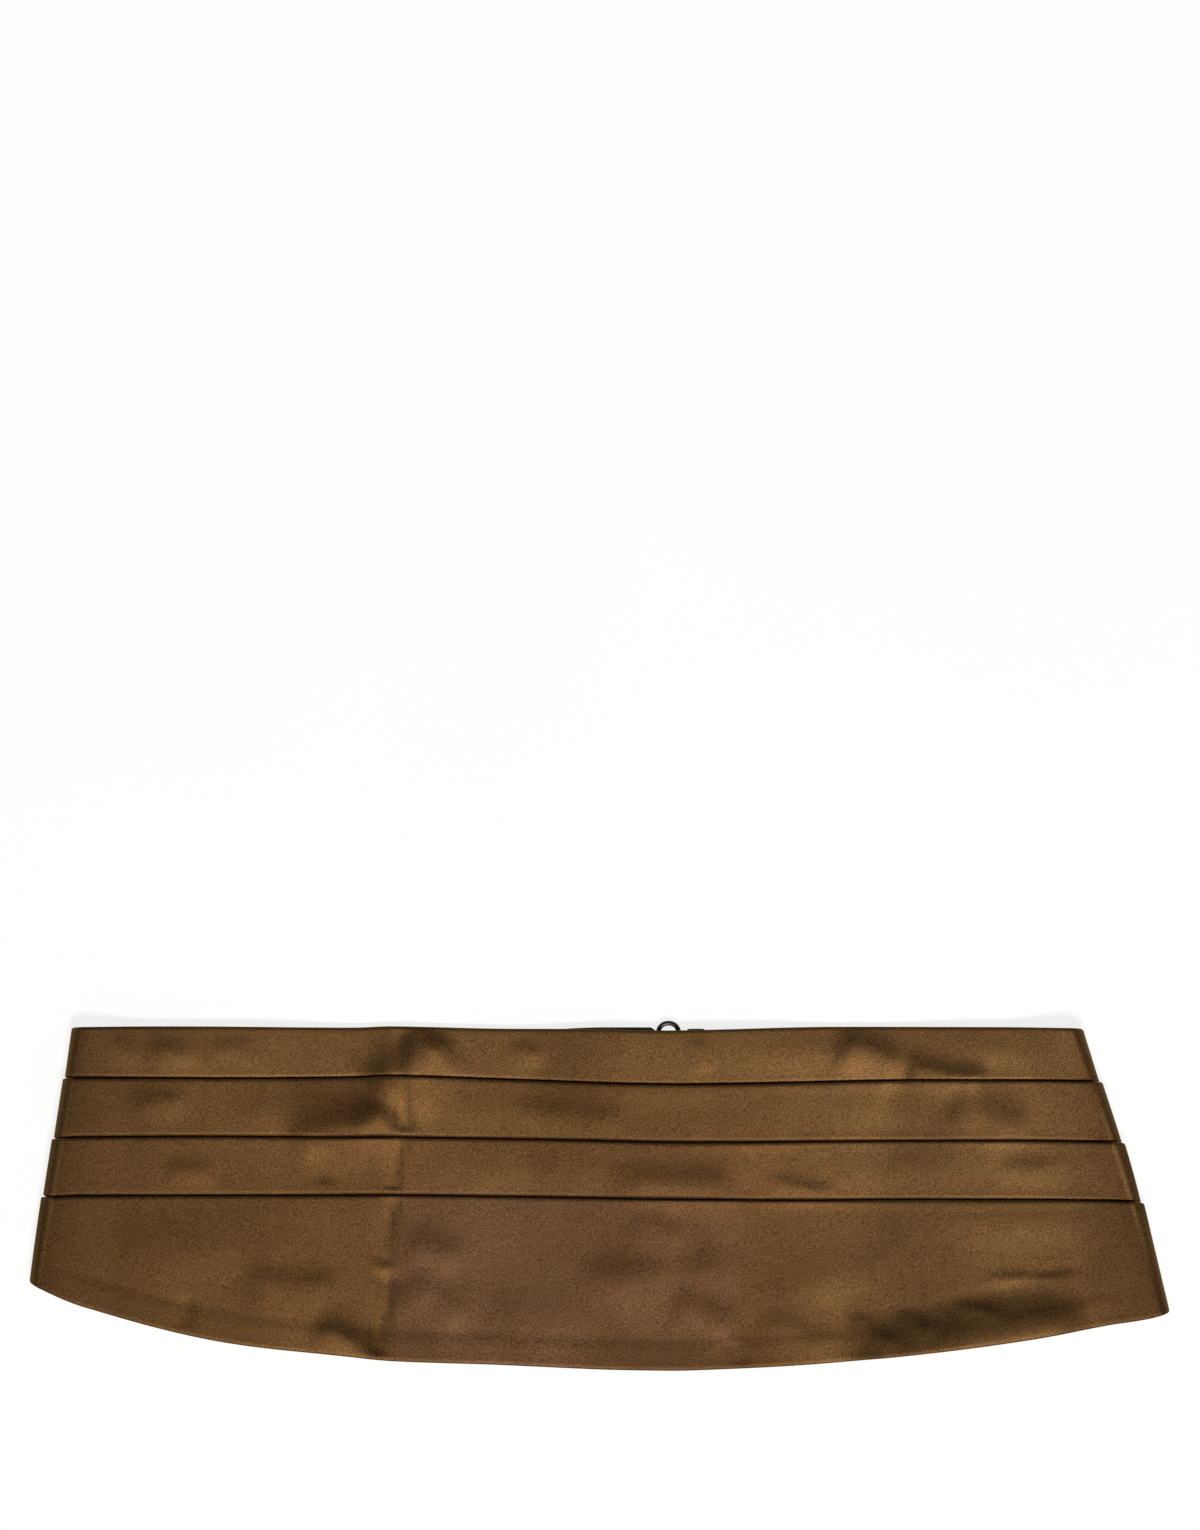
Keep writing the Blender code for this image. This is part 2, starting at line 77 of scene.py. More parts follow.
SECTIONS = (
    Section(-310, 64.2, 51, 38, 26, 3.5),
    Section(-262, 64.6, 49, 31.5, 14, -15.5),
    Section(-220, 64.8, 45.9, 22.9, 0.6, -33.8),
    Section(-200, 65.4, 45.8, 22.8, 0.2, -42.5),
    Section(-150, 65.5, 45.4, 23, 0.2, -55.6),
    Section(-95, 65, 45.7, 22.6, 0.2, -62.4),
    Section(-80, 65.5, 46.4, 22.6, 0.2, -64),
    Section(-40, 64.6, 45, 22, -0.3, -65.4),
    Section(0, 64.5, 43.6, 21.3, -0.9, -67.2),
    Section(18, 64, 43.2, 20.9, -1.2, -67.6),
    Section(35, 64.1, 43.1, 20.7, -1.4, -67.6),
    Section(80, 65.2, 43.8, 20.9, -1.8, -65.4),
    Section(120, 65.3, 44.6, 21.2, -1.4, -61.6),
    Section(165, 65.2, 44.6, 21.4, -1.4, -55.6),
    Section(195, 64.8, 44.4, 21.1, -1.6, -50.1),
    Section(220, 64.2, 44.6, 21.2, -1.6, -44.9),
    Section(245, 63.8, 46, 26.5, 6.5, -31),
    Section(280, 63.5, 49, 33, 16, -5),
)
EDGES = ("top", "pleat_1", "pleat_2", "pleat_3", "bottom")


class FoldLine(NamedTuple):
    """Where the centre of each side fold runs, at one height on the panel, in millimetres."""

    y: float
    left: float
    right: float


FOLD_LINES = (
    FoldLine(-45, -217.8, 216.0),
    FoldLine(-20, -214.1, 209.4),
    FoldLine(2, -210.5, 203.5),
    FoldLine(23, -206.6, 196.6),
    FoldLine(46, -202.4, 188.1),
    FoldLine(66, -198.9, 180.8),
)


class Side(NamedTuple):
    """One side fold and the end that it turns under."""

    name: str
    out: int
    slant: float
    step: float
    reach: float


LEFT = Side("left", -1, math.radians(9.8), 0.6 * MM, 74 * MM)
RIGHT = Side("right", 1, math.radians(17.0), 1.0 * MM, 40 * MM)
FOLD_RADIUS = 4.0 * MM  # of the fold's outer face at the lower end of a band
MEAN_RADIUS = 4.3 * MM  # on which lengths round the fold are measured
HALF_TURN = math.pi * MEAN_RADIUS
ARC_STEPS = 14
STATION_STEP = 2.35 * MM  # between sections of the front
STATIONS_EASED = 0.35  # how much closer they are by the side folds
TURNED_STEP = 3.4 * MM  # between sections of a turned end
END_X = 250 * MM  # from the middle, where the top edge is read for the cut of a turned end

# how high the back of the front lies, and where
FOLD_SWELL = 0.07  # share of the way across, over which it rises to a side fold
OVER_ENDS = 4.0 * MM
OVER_STRAP = 1.7 * MM
OVER_CLOSURE = 4.7 * MM
ENDS_STOP = (-132 * MM, 150 * MM)
SLOPE = 60 * MM
STRAP_RISE = (-45 * MM, 62 * MM)
CLOSURE_X = 31 * MM
CLOSURE_RISE = (-62 * MM, 62 * MM)
CLOSURE_HOLD = 1.3  # slopes between the closure's middle and the foot of the rise over it
STACKING = 4  # how nearly the highest of these counts alone

# the strap
RIBBON = 0.6 * MM
RIBBON_LAYER = 0.72 * MM
RIBBON_Z = 0.36 * MM  # its middle, where it lies on the surface
STRAP_WIDTH = 16.2 * MM
DRAWN_IN = 12.6 * MM
DRAWN_LENGTH = 3.0 * MM
GATHER_LENGTH = 14.0 * MM
GATHERS = 4  # small folds across the ribbon where the loop draws it in
GATHER_DEPTH = 0.34 * MM
LEFT_STRAP_Y = 56.95 * MM
SEWN_BACK = 14 * MM
BACK_STEPS = 14
STRAP_STRAIGHT = 20 * MM
STRAP_STEP = 1.3 * MM
LAP_STARTS = 9 * MM
LAP_CLEAR = 2 * MM
LAP_ENDS = 24 * MM
LAP_UNDER = 0.9 * MM  # height over which the upper layer of the lap takes the gathers
LAP_ROWS = (10.2 * MM, 12.6 * MM)  # where it is stitched
STRAP_BEND = 0.36
SEAM_RISE = 25 * MM
SEAM_Z = 1.28 * MM
SEAM_GAP = 0.3 * MM
SEAM_SHEAR = 14 * MM  # last length of the ribbon, over which it turns to the slant of its seam
STRAP_FROM_CORNER = {"left": 13.0 * MM, "right": 9.5 * MM}
STRAP_LEAN = math.radians(20)
WRAP_EASE = 0.05 * MM  # between the ribbon and its bar
WRAP_TURN = 12  # degrees, round a bar

# the loop and the hook
WIRE = 1.9 * MM
WIRE_SIDES = 22
LOOP = Vector((26.6, 55.4, 2.4)) * MM
LOOP_WIDTH = 9.7 * MM
LOOP_HEIGHT = 24.4 * MM
LOOP_CORNER = 3.6 * MM
CORNER_STEPS = 12
HOOK_PLATE = 0.9 * MM
HOOK_WIDTH = 18.3 * MM
HOOK_EASE = 0.15 * MM  # between the hook and the loop's wire
HOOK_LIP = 3.0 * MM
LIP_STEPS = 5
HOOK_CORNER = 1.5 * MM
TONGUE_WIDTH = 14.2 * MM
TONGUE_LENGTH = 2.2 * MM
SHOULDER = 1.6 * MM  # length over which the tongue widens to the plate
PLATE_STEPS = 24
BAR = Vector((40.2, 55.4, 2.6)) * MM  # middle of the hook's bar
BAR_WIDTH = 2.0 * MM
BAR_CORE = math.hypot(BAR_WIDTH, HOOK_PLATE) / 2
SLOT = Vector((1.9, 17.2, 10.0)) * MM
SLOT_CORNER = 0.3 * MM


# ---------------------------------------------------------------- the creases placed one by one

RELIEF = 1.3  # how far the front's creases stand out
CREST_BELOW = 0.7  # of a ridge's upper spread, from its line down to its crest
WANDER = 1.2  # how far a crease wanders from its line, in millimetres
WANDER_TURNS = 5.1  # radians of that wave along the crease
WANDER_SHIFT = 0.37  # radians for each millimetre of its first X
WANDER_LENGTH = 40  # millimetres; a shorter crease wanders less
LIFTS_FROM = 2.4 * MM  # height from which the cloth creases fully
FOLD_GRIP = 0.05  # share of the front, by a side fold, over which creases fade
SWELL_GRIP = 0.6  # how much less the front creases where it rises to a side fold
TURNED_GRIP = 8 * MM  # length past a fold over which they fade in, on a turned end


class Crease(NamedTuple):
    """A soft trough or ridge on the front, from one place to another, in millimetres.

    above and below are how far it spreads on its upper and lower side, or on the right and left
    side of an upright one. height is less than 0 for a trough. A ridge's line is its steep upper
    face, which the light misses, and its crest lies below that. rise is the part of its length, at
    each end, over which it fades in.
    """

    x_1: float
    y_1: float
    x_2: float
    y_2: float
    above: float
    below: float
    height: float
    rise: float


CREASES = (
    # the long crease from storage, kinked at each pressed edge
    Crease(-76.5, 65, -76.8, 24, 1.4, 2.6, -0.56, 0.08),
    Crease(-76.8, 24, -81.6, 2, 1.4, 2.6, -0.56, 0.10),
    Crease(-81.6, 1, -83.6, -28, 1.4, 3, -0.58, 0.12),
    Crease(-83.8, -28, -86, -63, 1.5, 3.2, -0.76, 0.12),
    # the rounded edges that catch the light above the pleat lines
    Crease(52, 44.6, 196, 45.2, 2.6, 1.1, 0.09, 0.12),
    Crease(40, 21.9, 205, 22.4, 2.6, 1.1, 0.10, 0.12),
    Crease(30, -0.6, 210, -0.5, 2.6, 1.1, 0.10, 0.12),
    # the diagonal ones over the end of the left turned end
    Crease(-91, 40, -66, 68, 8.6, 13, 1.50, 0.24),
    Crease(-124, 23.5, -79, 41.5, 8.6, 12, 1.20, 0.24),
    Crease(-100, 27, -79, 36, 4, 7, 0.50, 0.30),
    Crease(-64, 62, -55, 57.5, 2.6, 4, 0.34, 0.30),
    # under the top edge at the left
    Crease(-196, 58, -176, 60.5, 3.4, 5.6, 0.26, 0.42),
    Crease(-174, 60.5, -154, 55.5, 3.4, 5.4, 0.30, 0.40),
    Crease(-152, 59, -129, 60.5, 3, 5, 0.22, 0.42),
    Crease(-142, 56.5, -126, 53.5, 2.6, 4.4, 0.18, 0.42),
    # narrow bands
    Crease(-107, 19, -104.5, 3.5, 1.8, 3, -0.50, 0.30),
    Crease(-186, 39.5, -156, 38, 3.6, 6, 0.34, 0.35),
    Crease(-170, 14, -146, 10.5, 3.2, 5.5, 0.30, 0.35),
    Crease(-34, 60, -20, 54.5, 2.8, 4.6, 0.34, 0.35),
    Crease(39, 62.5, 42.5, 47, 2.2, 3, 0.30, 0.30),
    Crease(92, 63.5, 121, 52.5, 6, 11, 0.98, 0.25),
    Crease(116, 53.5, 152, 48, 4.6, 7, 0.92, 0.22),
    Crease(138, 44.5, 168, 24, 8, 11, 0.78, 0.30),
    Crease(2, 12, 57, 5, 7.2, 9, 0.86, 0.30),
    Crease(62, 6.6, 94, 4.4, 3.2, 5, 0.42, 0.32),
    Crease(-40, 35, 18, 34, 5.5, 8, 0.46, 0.32),
    Crease(148, 12, 182, 15, 3.8, 6.5, 0.34, 0.35),
    # the deep band, from the left
    Crease(-160, -36.5, -158.5, -52, 2.2, 3.2, -0.34, 0.35),
    Crease(-139, -28.5, -98, -31.5, 5.6, 9, 0.50, 0.30),
    Crease(-110, -47, -80.5, -61, 5.2, 8, 0.78, 0.25),
    Crease(-76, -14.5, -50, -21.5, 6, 8, 0.52, 0.32),
    Crease(-76, -29, -45, -45, 7, 10, 0.62, 0.32),
    Crease(-14, -26, 60, -25, 7.5, 9, 0.50, 0.34),
    Crease(10, -6, 38, -13.5, 6.2, 8, 0.56, 0.34),
    Crease(28, -36, 56, -49, 6.6, 9, 0.66, 0.32),
    Crease(60, -46.5, 95, -53, 5.8, 8, 0.58, 0.32),
    Crease(52.5, -56, 54.5, -66, 1.4, 2.2, -0.46, 0.20),
    # the long dark fall at the lower right
    Crease(93, -63, 189, -37, 11.5, 10, 2, 0.20),
    Crease(100, -48.5, 190, -27, 2.8, 6, -0.15, 0.25),
    Crease(146, -33, 188, -27.5, 1.7, 4.5, 0.34, 0.30),
    Crease(97, -45, 117, -57, 2.6, 5.4, 0.55, 0.28),
    Crease(115, -43.5, 131, -51, 2.4, 5, 0.46, 0.30),
    Crease(137, -39.5, 157, -45.5, 2.2, 4.6, 0.44, 0.30),
)


# on the ends that are turned under, which otherwise lie flat on their face
TURNED_CREASES = (
    Crease(-201, 41, -150, 31, 4, 6, 0.44, 0.30),
    Crease(-192, -6, -146, -21, 5, 7, 0.50, 0.30),
    Crease(-168, 56, -140, 48, 3, 4.4, 0.34, 0.32),
    Crease(160, 36, 192, 27, 4, 5.4, 0.42, 0.30),
    Crease(166, -9, 203, -22, 5, 6.4, 0.46, 0.30),
)


class Swell(NamedTuple):
    """A broad, shallow rise or dip of the front, in millimetres."""

    x: float
    y: float
    long: float
    across: float
    turned: float  # degrees
    height: float


SWELLS = (
    Swell(-165, 55, 22, 7, 0, 0.22),
    Swell(-120, 34, 18, 7, 10, 0.24),
    Swell(-50, 34, 26, 7, -6, 0.24),
    Swell(24, 33, 30, 8, 4, -0.22),
    Swell(88, 55, 30, 7, 0, 0.28),
    Swell(150, 56, 20, 6, -6, 0.24),
    Swell(112, 33, 20, 7, -10, 0.22),
    Swell(-30, 10, 34, 7, 0, 0.22),
    Swell(120, 10, 30, 7, 4, 0.22),
    Swell(-150, -20, 34, 13, 12, 0.40),
    Swell(-115, -48, 22, 9, -14, 0.32),
    Swell(-20, -50, 32, 12, 6, 0.42),
    Swell(10, -36, 20, 9, -20, 0.26),
    Swell(88, -34, 26, 11, 18, 0.44),
    Swell(165, -10, 30, 9, 0, 0.34),
    Swell(192, -38, 14, 9, 30, 0.24),
)


def mix(first, last, share):
    return first + (last - first) * share


def smooth(value):
    """0 below 0, 1 above 1, and a soft step between."""
    value = np.clip(value, 0.0, 1.0)
    return value * value * (3 - 2 * value)


def relief(x, y, creases=CREASES, swells=SWELLS):
    """Height that creases and swells add at places of the plan."""
    x, y = np.asarray(x) / MM, np.asarray(y) / MM
    height = np.zeros_like(x)
    for c in creases:
        along = np.array((c.x_2 - c.x_1, c.y_2 - c.y_1))
        length = float(np.hypot(*along))
        along = along / length
        run = (x - c.x_1) * along[0] + (y - c.y_1) * along[1]
        aside = (y - c.y_1) * along[0] - (x - c.x_1) * along[1]
        if along[0] < 0:
            aside = -aside
        wave = np.sin(run / length * WANDER_TURNS + c.x_1 * WANDER_SHIFT)
        aside = aside + WANDER * wave * min(length / WANDER_LENGTH, 1)
        if c.height > 0:
            aside = aside + CREST_BELOW * c.above
        width = np.where(aside > 0, c.above, c.below)
        fade = smooth(run / length / c.rise) * smooth((length - run) / length / c.rise)
        height += c.height * np.exp(-((aside / width) ** 2)) * fade
    for s in swells:
        cos, sin = math.cos(math.radians(s.turned)), math.sin(math.radians(s.turned))
        a = ((x - s.x) * cos + (y - s.y) * sin) / s.long
        b = (-(x - s.x) * sin + (y - s.y) * cos) / s.across
        height += s.height * np.exp(-(a * a + b * b))
    return height * RELIEF * MM


# ---------------------------------------------------------------- tables and the folded section


def read(rows, column, at):
    """The value of a table's column between its rows, in metres, on a smooth curve through them."""
    keys = [row[0] * MM for row in rows]
    values = [getattr(row, column) * MM for row in rows]
    last = len(rows) - 1
    i = min(max(sum(key <= at for key in keys) - 1, 0), last - 1)

    def slope(k):
        a, b = max(k - 1, 0), min(k + 1, last)
        return (values[b] - values[a]) / (keys[b] - keys[a])

    span = keys[i + 1] - keys[i]
    t = (at - keys[i]) / span
    if not 0 <= t <= 1:
        end = i if t < 0 else i + 1
        return values[end] + slope(end) * (at - keys[end])
    a, b = slope(i) * span, slope(i + 1) * span
    rise = values[i + 1] - values[i]
    return values[i] + t * (a + t * (3 * rise - 2 * a - b + t * (a + b - 2 * rise)))


class Node(NamedTuple):
    """A point on the middle of the cloth, within one band."""

    band: int
    down: float  # from the band's top edge
    under: float  # layers between it and what the panel lies on
    over: float  # layers between it and the satin that shows


def turn(band, centre, towards, start, end):
    """A pressed edge: half a circle from one layer to the next. towards is 1 down the band."""
    nodes = []
    for angle in range(-90, 91, TURN_STEP):
        share = (1 + math.sin(math.radians(angle))) / 2
        down = centre + towards * TURN_REACH * math.cos(math.radians(angle))
        nodes.append(Node(band, down, mix(start[0], end[0], share), mix(start[1], end[1], share)))
    return nodes


RIM_COUNT = round(RIM / RIM_STEP)
FIELD_COUNTS = tuple(round(length / FIELD_STEP) for length in FIELD_LENGTHS)


def inside(band, first, last, under, over, count=7):
    """Points of a layer that the band in front hides."""
    return [Node(band, mix(first, last, (k + 1) / (count + 1)), under, over) for k in range(count)]


def field_shape(band, share, to_edge):
    """Layers under the cloth in the part of a narrow band that shows, by its distance to the next
    pressed edge."""
    start, end = BAND_LAYERS[band]
    return mix(start, end, share) * smooth(to_edge / DIVE)


def band_nodes(band, height):
    """One band, from what lies behind its top edge to the next pressed edge or the lower hem."""
    last_band = band == len(EDGES) - 2
    if band == 0:
        nodes = [Node(band, HEM_DEPTH, 0, 1)]
        nodes += inside(band, HEM_DEPTH, EDGE, 0, 1, 6)
        nodes += turn(band, EDGE, -1, (0, 1), (1, 0))
    else:
        nodes = inside(band, 0, PLEAT_DEPTH - EDGE, 0, 2)
        nodes += turn(band, PLEAT_DEPTH - EDGE, 1, (0, 2), (1, 1))
        nodes += inside(band, PLEAT_DEPTH - EDGE, EDGE, 1, 1)
        nodes += turn(band, EDGE, -1, (1, 1), (2, 0))
    start = EDGE + FIELD_FROM
    end = height - (HEM_DEPTH + HEM_FROM if last_band else RIM_LEFT)
    rim = end if last_band else end - RIM
    count = FIELD_COUNTS[band]
    downs = [mix(start, rim, k / count) for k in range(count + 1)]
    if not last_band:
        downs += [mix(rim, end, (k + 1) / RIM_COUNT) for k in range(RIM_COUNT)]
    for down in downs:
        share = (down - start) / (end - start)
        if last_band:
            nodes.append(Node(band, down, mix(2, HEM_LIFT, share), 0))
        else:
            over = 2 * (1 - smooth((height - down - SINK_LEFT) / SINK))
            nodes.append(Node(band, down, field_shape(band, share, height - down), over))
    if last_band:
        raised = height - HEM_DEPTH + HEM_OVER
        for k in range(1, HEM_STEPS + 1):
            share = k / HEM_STEPS
            nodes.append(Node(band, mix(end, raised, share), mix(HEM_LIFT, 1, share), 0))
        nodes += inside(band, raised, height - EDGE, 1, 0, 5)
        nodes += turn(band, height - EDGE, 1, (1, 0), (0, 1))
        nodes += inside(band, height - EDGE, height - HEM_DEPTH, 0, 1)
        nodes.append(Node(band, height - HEM_DEPTH, 0, 1))
    return nodes


def sides_of(line, thickness):
    """The two faces of a wall whose middle is this line of (across, height) points."""
    line = np.asarray(line)
    step = np.diff(line, axis=0)
    step /= np.linalg.norm(step, axis=1)[:, None]
    before = np.vstack((step[:1], step))
    after = np.vstack((step, step[-1:]))
    middle = before + after
    middle /= np.linalg.norm(middle, axis=1)[:, None]
    reach = thickness / 2 / np.maximum(np.sum(middle * after, axis=1), LEAST_MITRE)
    normal = np.stack((middle[:, 1], -middle[:, 0]), axis=1) * reach[:, None]
    return line + normal, line - normal


class Profile:
    """The folded section at one place along the panel, lying on its back and on its face."""

    def __init__(self, place):
        """place gives the X, on the flat panel, of the point at a height on this section."""
        edges = [read(SECTIONS, name, place(0)) for name in EDGES]
        for _ in range(4):
            edges = [read(SECTIONS, name, place(v)) for name, v in zip(EDGES, edges)]
        heights = [upper - lower for upper, lower in zip(edges, edges[1:])]
        nodes = [n for k, height in enumerate(heights) for n in band_nodes(k, height)]
        across = np.array([edges[n.band] - n.down for n in nodes])
        under = np.array([n.under for n in nodes])
        over = np.array([n.over for n in nodes])
        share = np.clip([n.down / heights[n.band] for n in nodes], 0, 1)
        dives = np.array([n.band < len(EDGES) - 2 for n in nodes]) & (share > 0.5)
        self.share = np.where(dives, share * (1 - over / 2), share)
        lying = np.stack((across, LIFTED + LAYER * under), axis=1)
        faced = np.stack((across, -CLOTH / 2 - LAYER * over), axis=1)
        self.run = np.concatenate(([0], np.cumsum(np.linalg.norm(np.diff(lying, axis=0), axis=1))))
        self.lying = sides_of(lying, CLOTH)
        self.faced = sides_of(faced, CLOTH)

    def points(self, put):
        """put makes points from (shares down the bands, lying points, faced points)."""
        rows = [put(self.share, self.lying[face], self.faced[face]) for face in (0, 1)]
        return np.vstack((rows[0], rows[1][::-1]))


# ---------------------------------------------------------------- the panel laid out


def fold_x(side, y):
    return read(FOLD_LINES, side.name, y)


def front_x(y, station):
    """X on the front at a height, a part of the way from the left fold to the right one."""
    return mix(fold_x(LEFT, y), fold_x(RIGHT, y), station)


def fold_axes(side):
    """Unit vectors square to the fold, outwards, and along it, upwards."""
    square = np.array((side.out * math.cos(side.slant), math.sin(side.slant), 0))
    along = np.array((-side.out * math.sin(side.slant), math.cos(side.slant), 0))
    return square, along


def fold_foot(side, y, distance):
    """Where a point this far past the fold line leaves that line, for a height on its section."""
    _, along = fold_axes(side)
    return np.array((fold_x(side, y), y, 0)) - along * distance * math.tan(side.slant)


def radius_at(side, share):
    return FOLD_RADIUS + side.step * (1 - share)


def rise_between(places, at):
    """0 before the first place and 1 after the last."""
    return smooth((at - places[0]) / (places[1] - places[0]))


def support(x, y):
    """Height of the front's back above the surface, over what lies under it."""
    over_left = smooth((ENDS_STOP[0] + SLOPE - x) / SLOPE)
    over_right = smooth((x - ENDS_STOP[1] + SLOPE) / SLOPE)
    strap = rise_between(STRAP_RISE, y)
    closure = smooth(CLOSURE_HOLD - abs(x - CLOSURE_X) / SLOPE) * rise_between(CLOSURE_RISE, y)
    heights = [OVER_ENDS * over_left, OVER_ENDS * over_right]
    heights += [OVER_STRAP * strap, OVER_CLOSURE * closure]
    return sum(height**STACKING for height in heights) ** (1 / STACKING)


def swell_at(station):
    """1 at a side fold and 0 past the part of the front that rises to it."""
    return 1 - smooth(min(station, 1 - station) / FOLD_SWELL)


def front_lift(x, y, z, station):
    """What the front's relief adds, less by the folds and where the cloth lies on the surface."""
    grip = smooth(min(station, 1 - station) / FOLD_GRIP) * (1 - SWELL_GRIP * swell_at(station))
    return relief(x, y) * grip * smooth(z / LIFTS_FROM)


def front_column(station):
    """The section at a part of the way from the left fold to the right one."""
    side = LEFT if station < 0.5 else RIGHT
    swell = swell_at(station)

    def put(share, lying, faced):
        y = mix(lying[:, 0], faced[:, 0], swell)
        x = np.array([front_x(v, station) for v in y])
        z = mix(support(x, y) + lying[:, 1], 2 * radius_at(side, share) + faced[:, 1], swell)
        return np.stack((x, y, z + front_lift(x, y, z, station)), axis=1)

    profile = Profile(lambda y: front_x(y, station))
    return profile.points(put), profile


def turned_column(side, distance):
    """The section at a distance past the fold line, measured round the fold and square to it."""
    square, _ = fold_axes(side)

    def place(y):
        return fold_x(side, y) + side.out * distance / math.cos(side.slant)

    def put(share, _, faced):
        radius = radius_at(side, share)
        foot = np.array([fold_foot(side, y, distance) for y in faced[:, 0]])
        up = np.zeros_like(foot)
        if distance > HALF_TURN:
            flat = foot - square * (distance - HALF_TURN)
            lift = relief(flat[:, 0], flat[:, 1], TURNED_CREASES, ())
            up[:, 2] = lift * smooth((distance - HALF_TURN) / TURNED_GRIP) - faced[:, 1]
            return flat + up
        angle = distance / MEAN_RADIUS
        arm = radius + faced[:, 1]
        up[:, 2] = radius + arm * math.cos(angle)
        return foot + square * (arm * math.sin(angle))[:, None] + up

    profile = Profile(place)
    return profile.points(put), profile


def turned_distances(side):
    arc = [HALF_TURN * k / ARC_STEPS for k in range(1, ARC_STEPS + 1)]
    count = round(side.reach / TURNED_STEP)
    return arc + [HALF_TURN + side.reach * (k + 1) / count for k in range(count)]


def end_corner(side):
    """The upper corner of a turned end's cut, and the fold's unit vectors."""
    square, along = fold_axes(side)
    y = read(SECTIONS, "top", side.out * END_X)
    return fold_foot(side, y, HALF_TURN + side.reach) - square * side.reach, square, along


# ---------------------------------------------------------------- meshes


def add_object(name, data):
    built = bpy.data.objects.new(name, data)
    bpy.context.scene.collection.objects.link(built)
    return built


def make_object(name, points, faces, material, smooth_angle):
    """A closed mesh with its faces outwards, smooth but where it turns by more than the angle."""
    mesh = bpy.data.meshes.new(name)
    mesh.from_pydata([tuple(p) for p in points], [], faces)
    shape = bmesh.new()
    shape.from_mesh(mesh)
    bmesh.ops.recalc_face_normals(shape, faces=shape.faces)
    shape.to_mesh(mesh)
    shape.free()
    mesh.shade_smooth()
    mesh.set_sharp_from_angle(angle=math.radians(smooth_angle))
    mesh.materials.append(material)
    return add_object(name, mesh)


def wall_faces(count, rings):
    faces = []
    for j in range(rings - 1):
        for i in range(count):
            near, far = j * count + i, j * count + (i + 1) % count
            faces.append((near, far, far + count, near + count))
    last = (rings - 1) * count
    for i in range(count // 2 - 1):
        first_cap = (i, count - 1 - i, count - 2 - i, i + 1)
        faces.append(first_cap)
        faces.append(tuple(last + k for k in reversed(first_cap)))
    return faces


def pleated_panel(satin):
    """The satin, from the left end that is turned under to the right one, with its own UV map:
    U along the cloth and V down it, in metres."""
    width = fold_x(RIGHT, 0) - fold_x(LEFT, 0)
    count = round(width / STATION_STEP)
    stations = [0.5 - 0.5 * math.cos(math.pi * k / count) for k in range(count + 1)]
    stations = [mix(k / count, s, STATIONS_EASED) for k, s in zip(range(count + 1), stations)]
    columns = [(turned_column(LEFT, d), -d) for d in reversed(turned_distances(LEFT))]
    columns += [(front_column(s), s * width) for s in stations]
    columns += [(turned_column(RIGHT, d), width + d) for d in turned_distances(RIGHT)]
    rings = [column[0][0] for column in columns]
    points = np.vstack(rings)
    size = len(rings[0])
    built = make_object("satin_panel", points, wall_faces(size, len(rings)), satin, 60)
    lay = np.empty((len(points), 2))
    for j, ((_, profile), u) in enumerate(columns):
        lay[j * size : (j + 1) * size, 0] = u
        lay[j * size : (j + 1) * size, 1] = np.concatenate((profile.run, profile.run[::-1]))
    lay_uv(built, lay)
    half = size // 2
    middle = np.array([(ring[:half] + ring[half:][::-1]) / 2 for ring in rings])
    return built, middle


# ---------------------------------------------------------------- the strap, the loop and the hook


class StrapCrease(NamedTuple):
    """A soft ridge across a strap half: its place along it, its spread and height in millimetres,
    and how much it slants."""

    at: float
    slant: float
    spread: float
    height: float


HALF_RIBBON = 8  # about half its width, in millimetres, for the slant

STRAP_CREASES = {
    "left": (
        StrapCrease(31, 0.5, 2.6, 0.34),
        StrapCrease(52, -0.3, 4.0, 0.26),
        StrapCrease(88, 0.8, 3.2, 0.38),
        StrapCrease(121, -0.6, 3.6, 0.30),
    ),
    "right": (
        StrapCrease(34, -0.6, 2.8, 0.34),
        StrapCrease(61, 0.4, 3.8, 0.28),
        StrapCrease(84, -0.2, 3.0, 0.30),
    ),
}


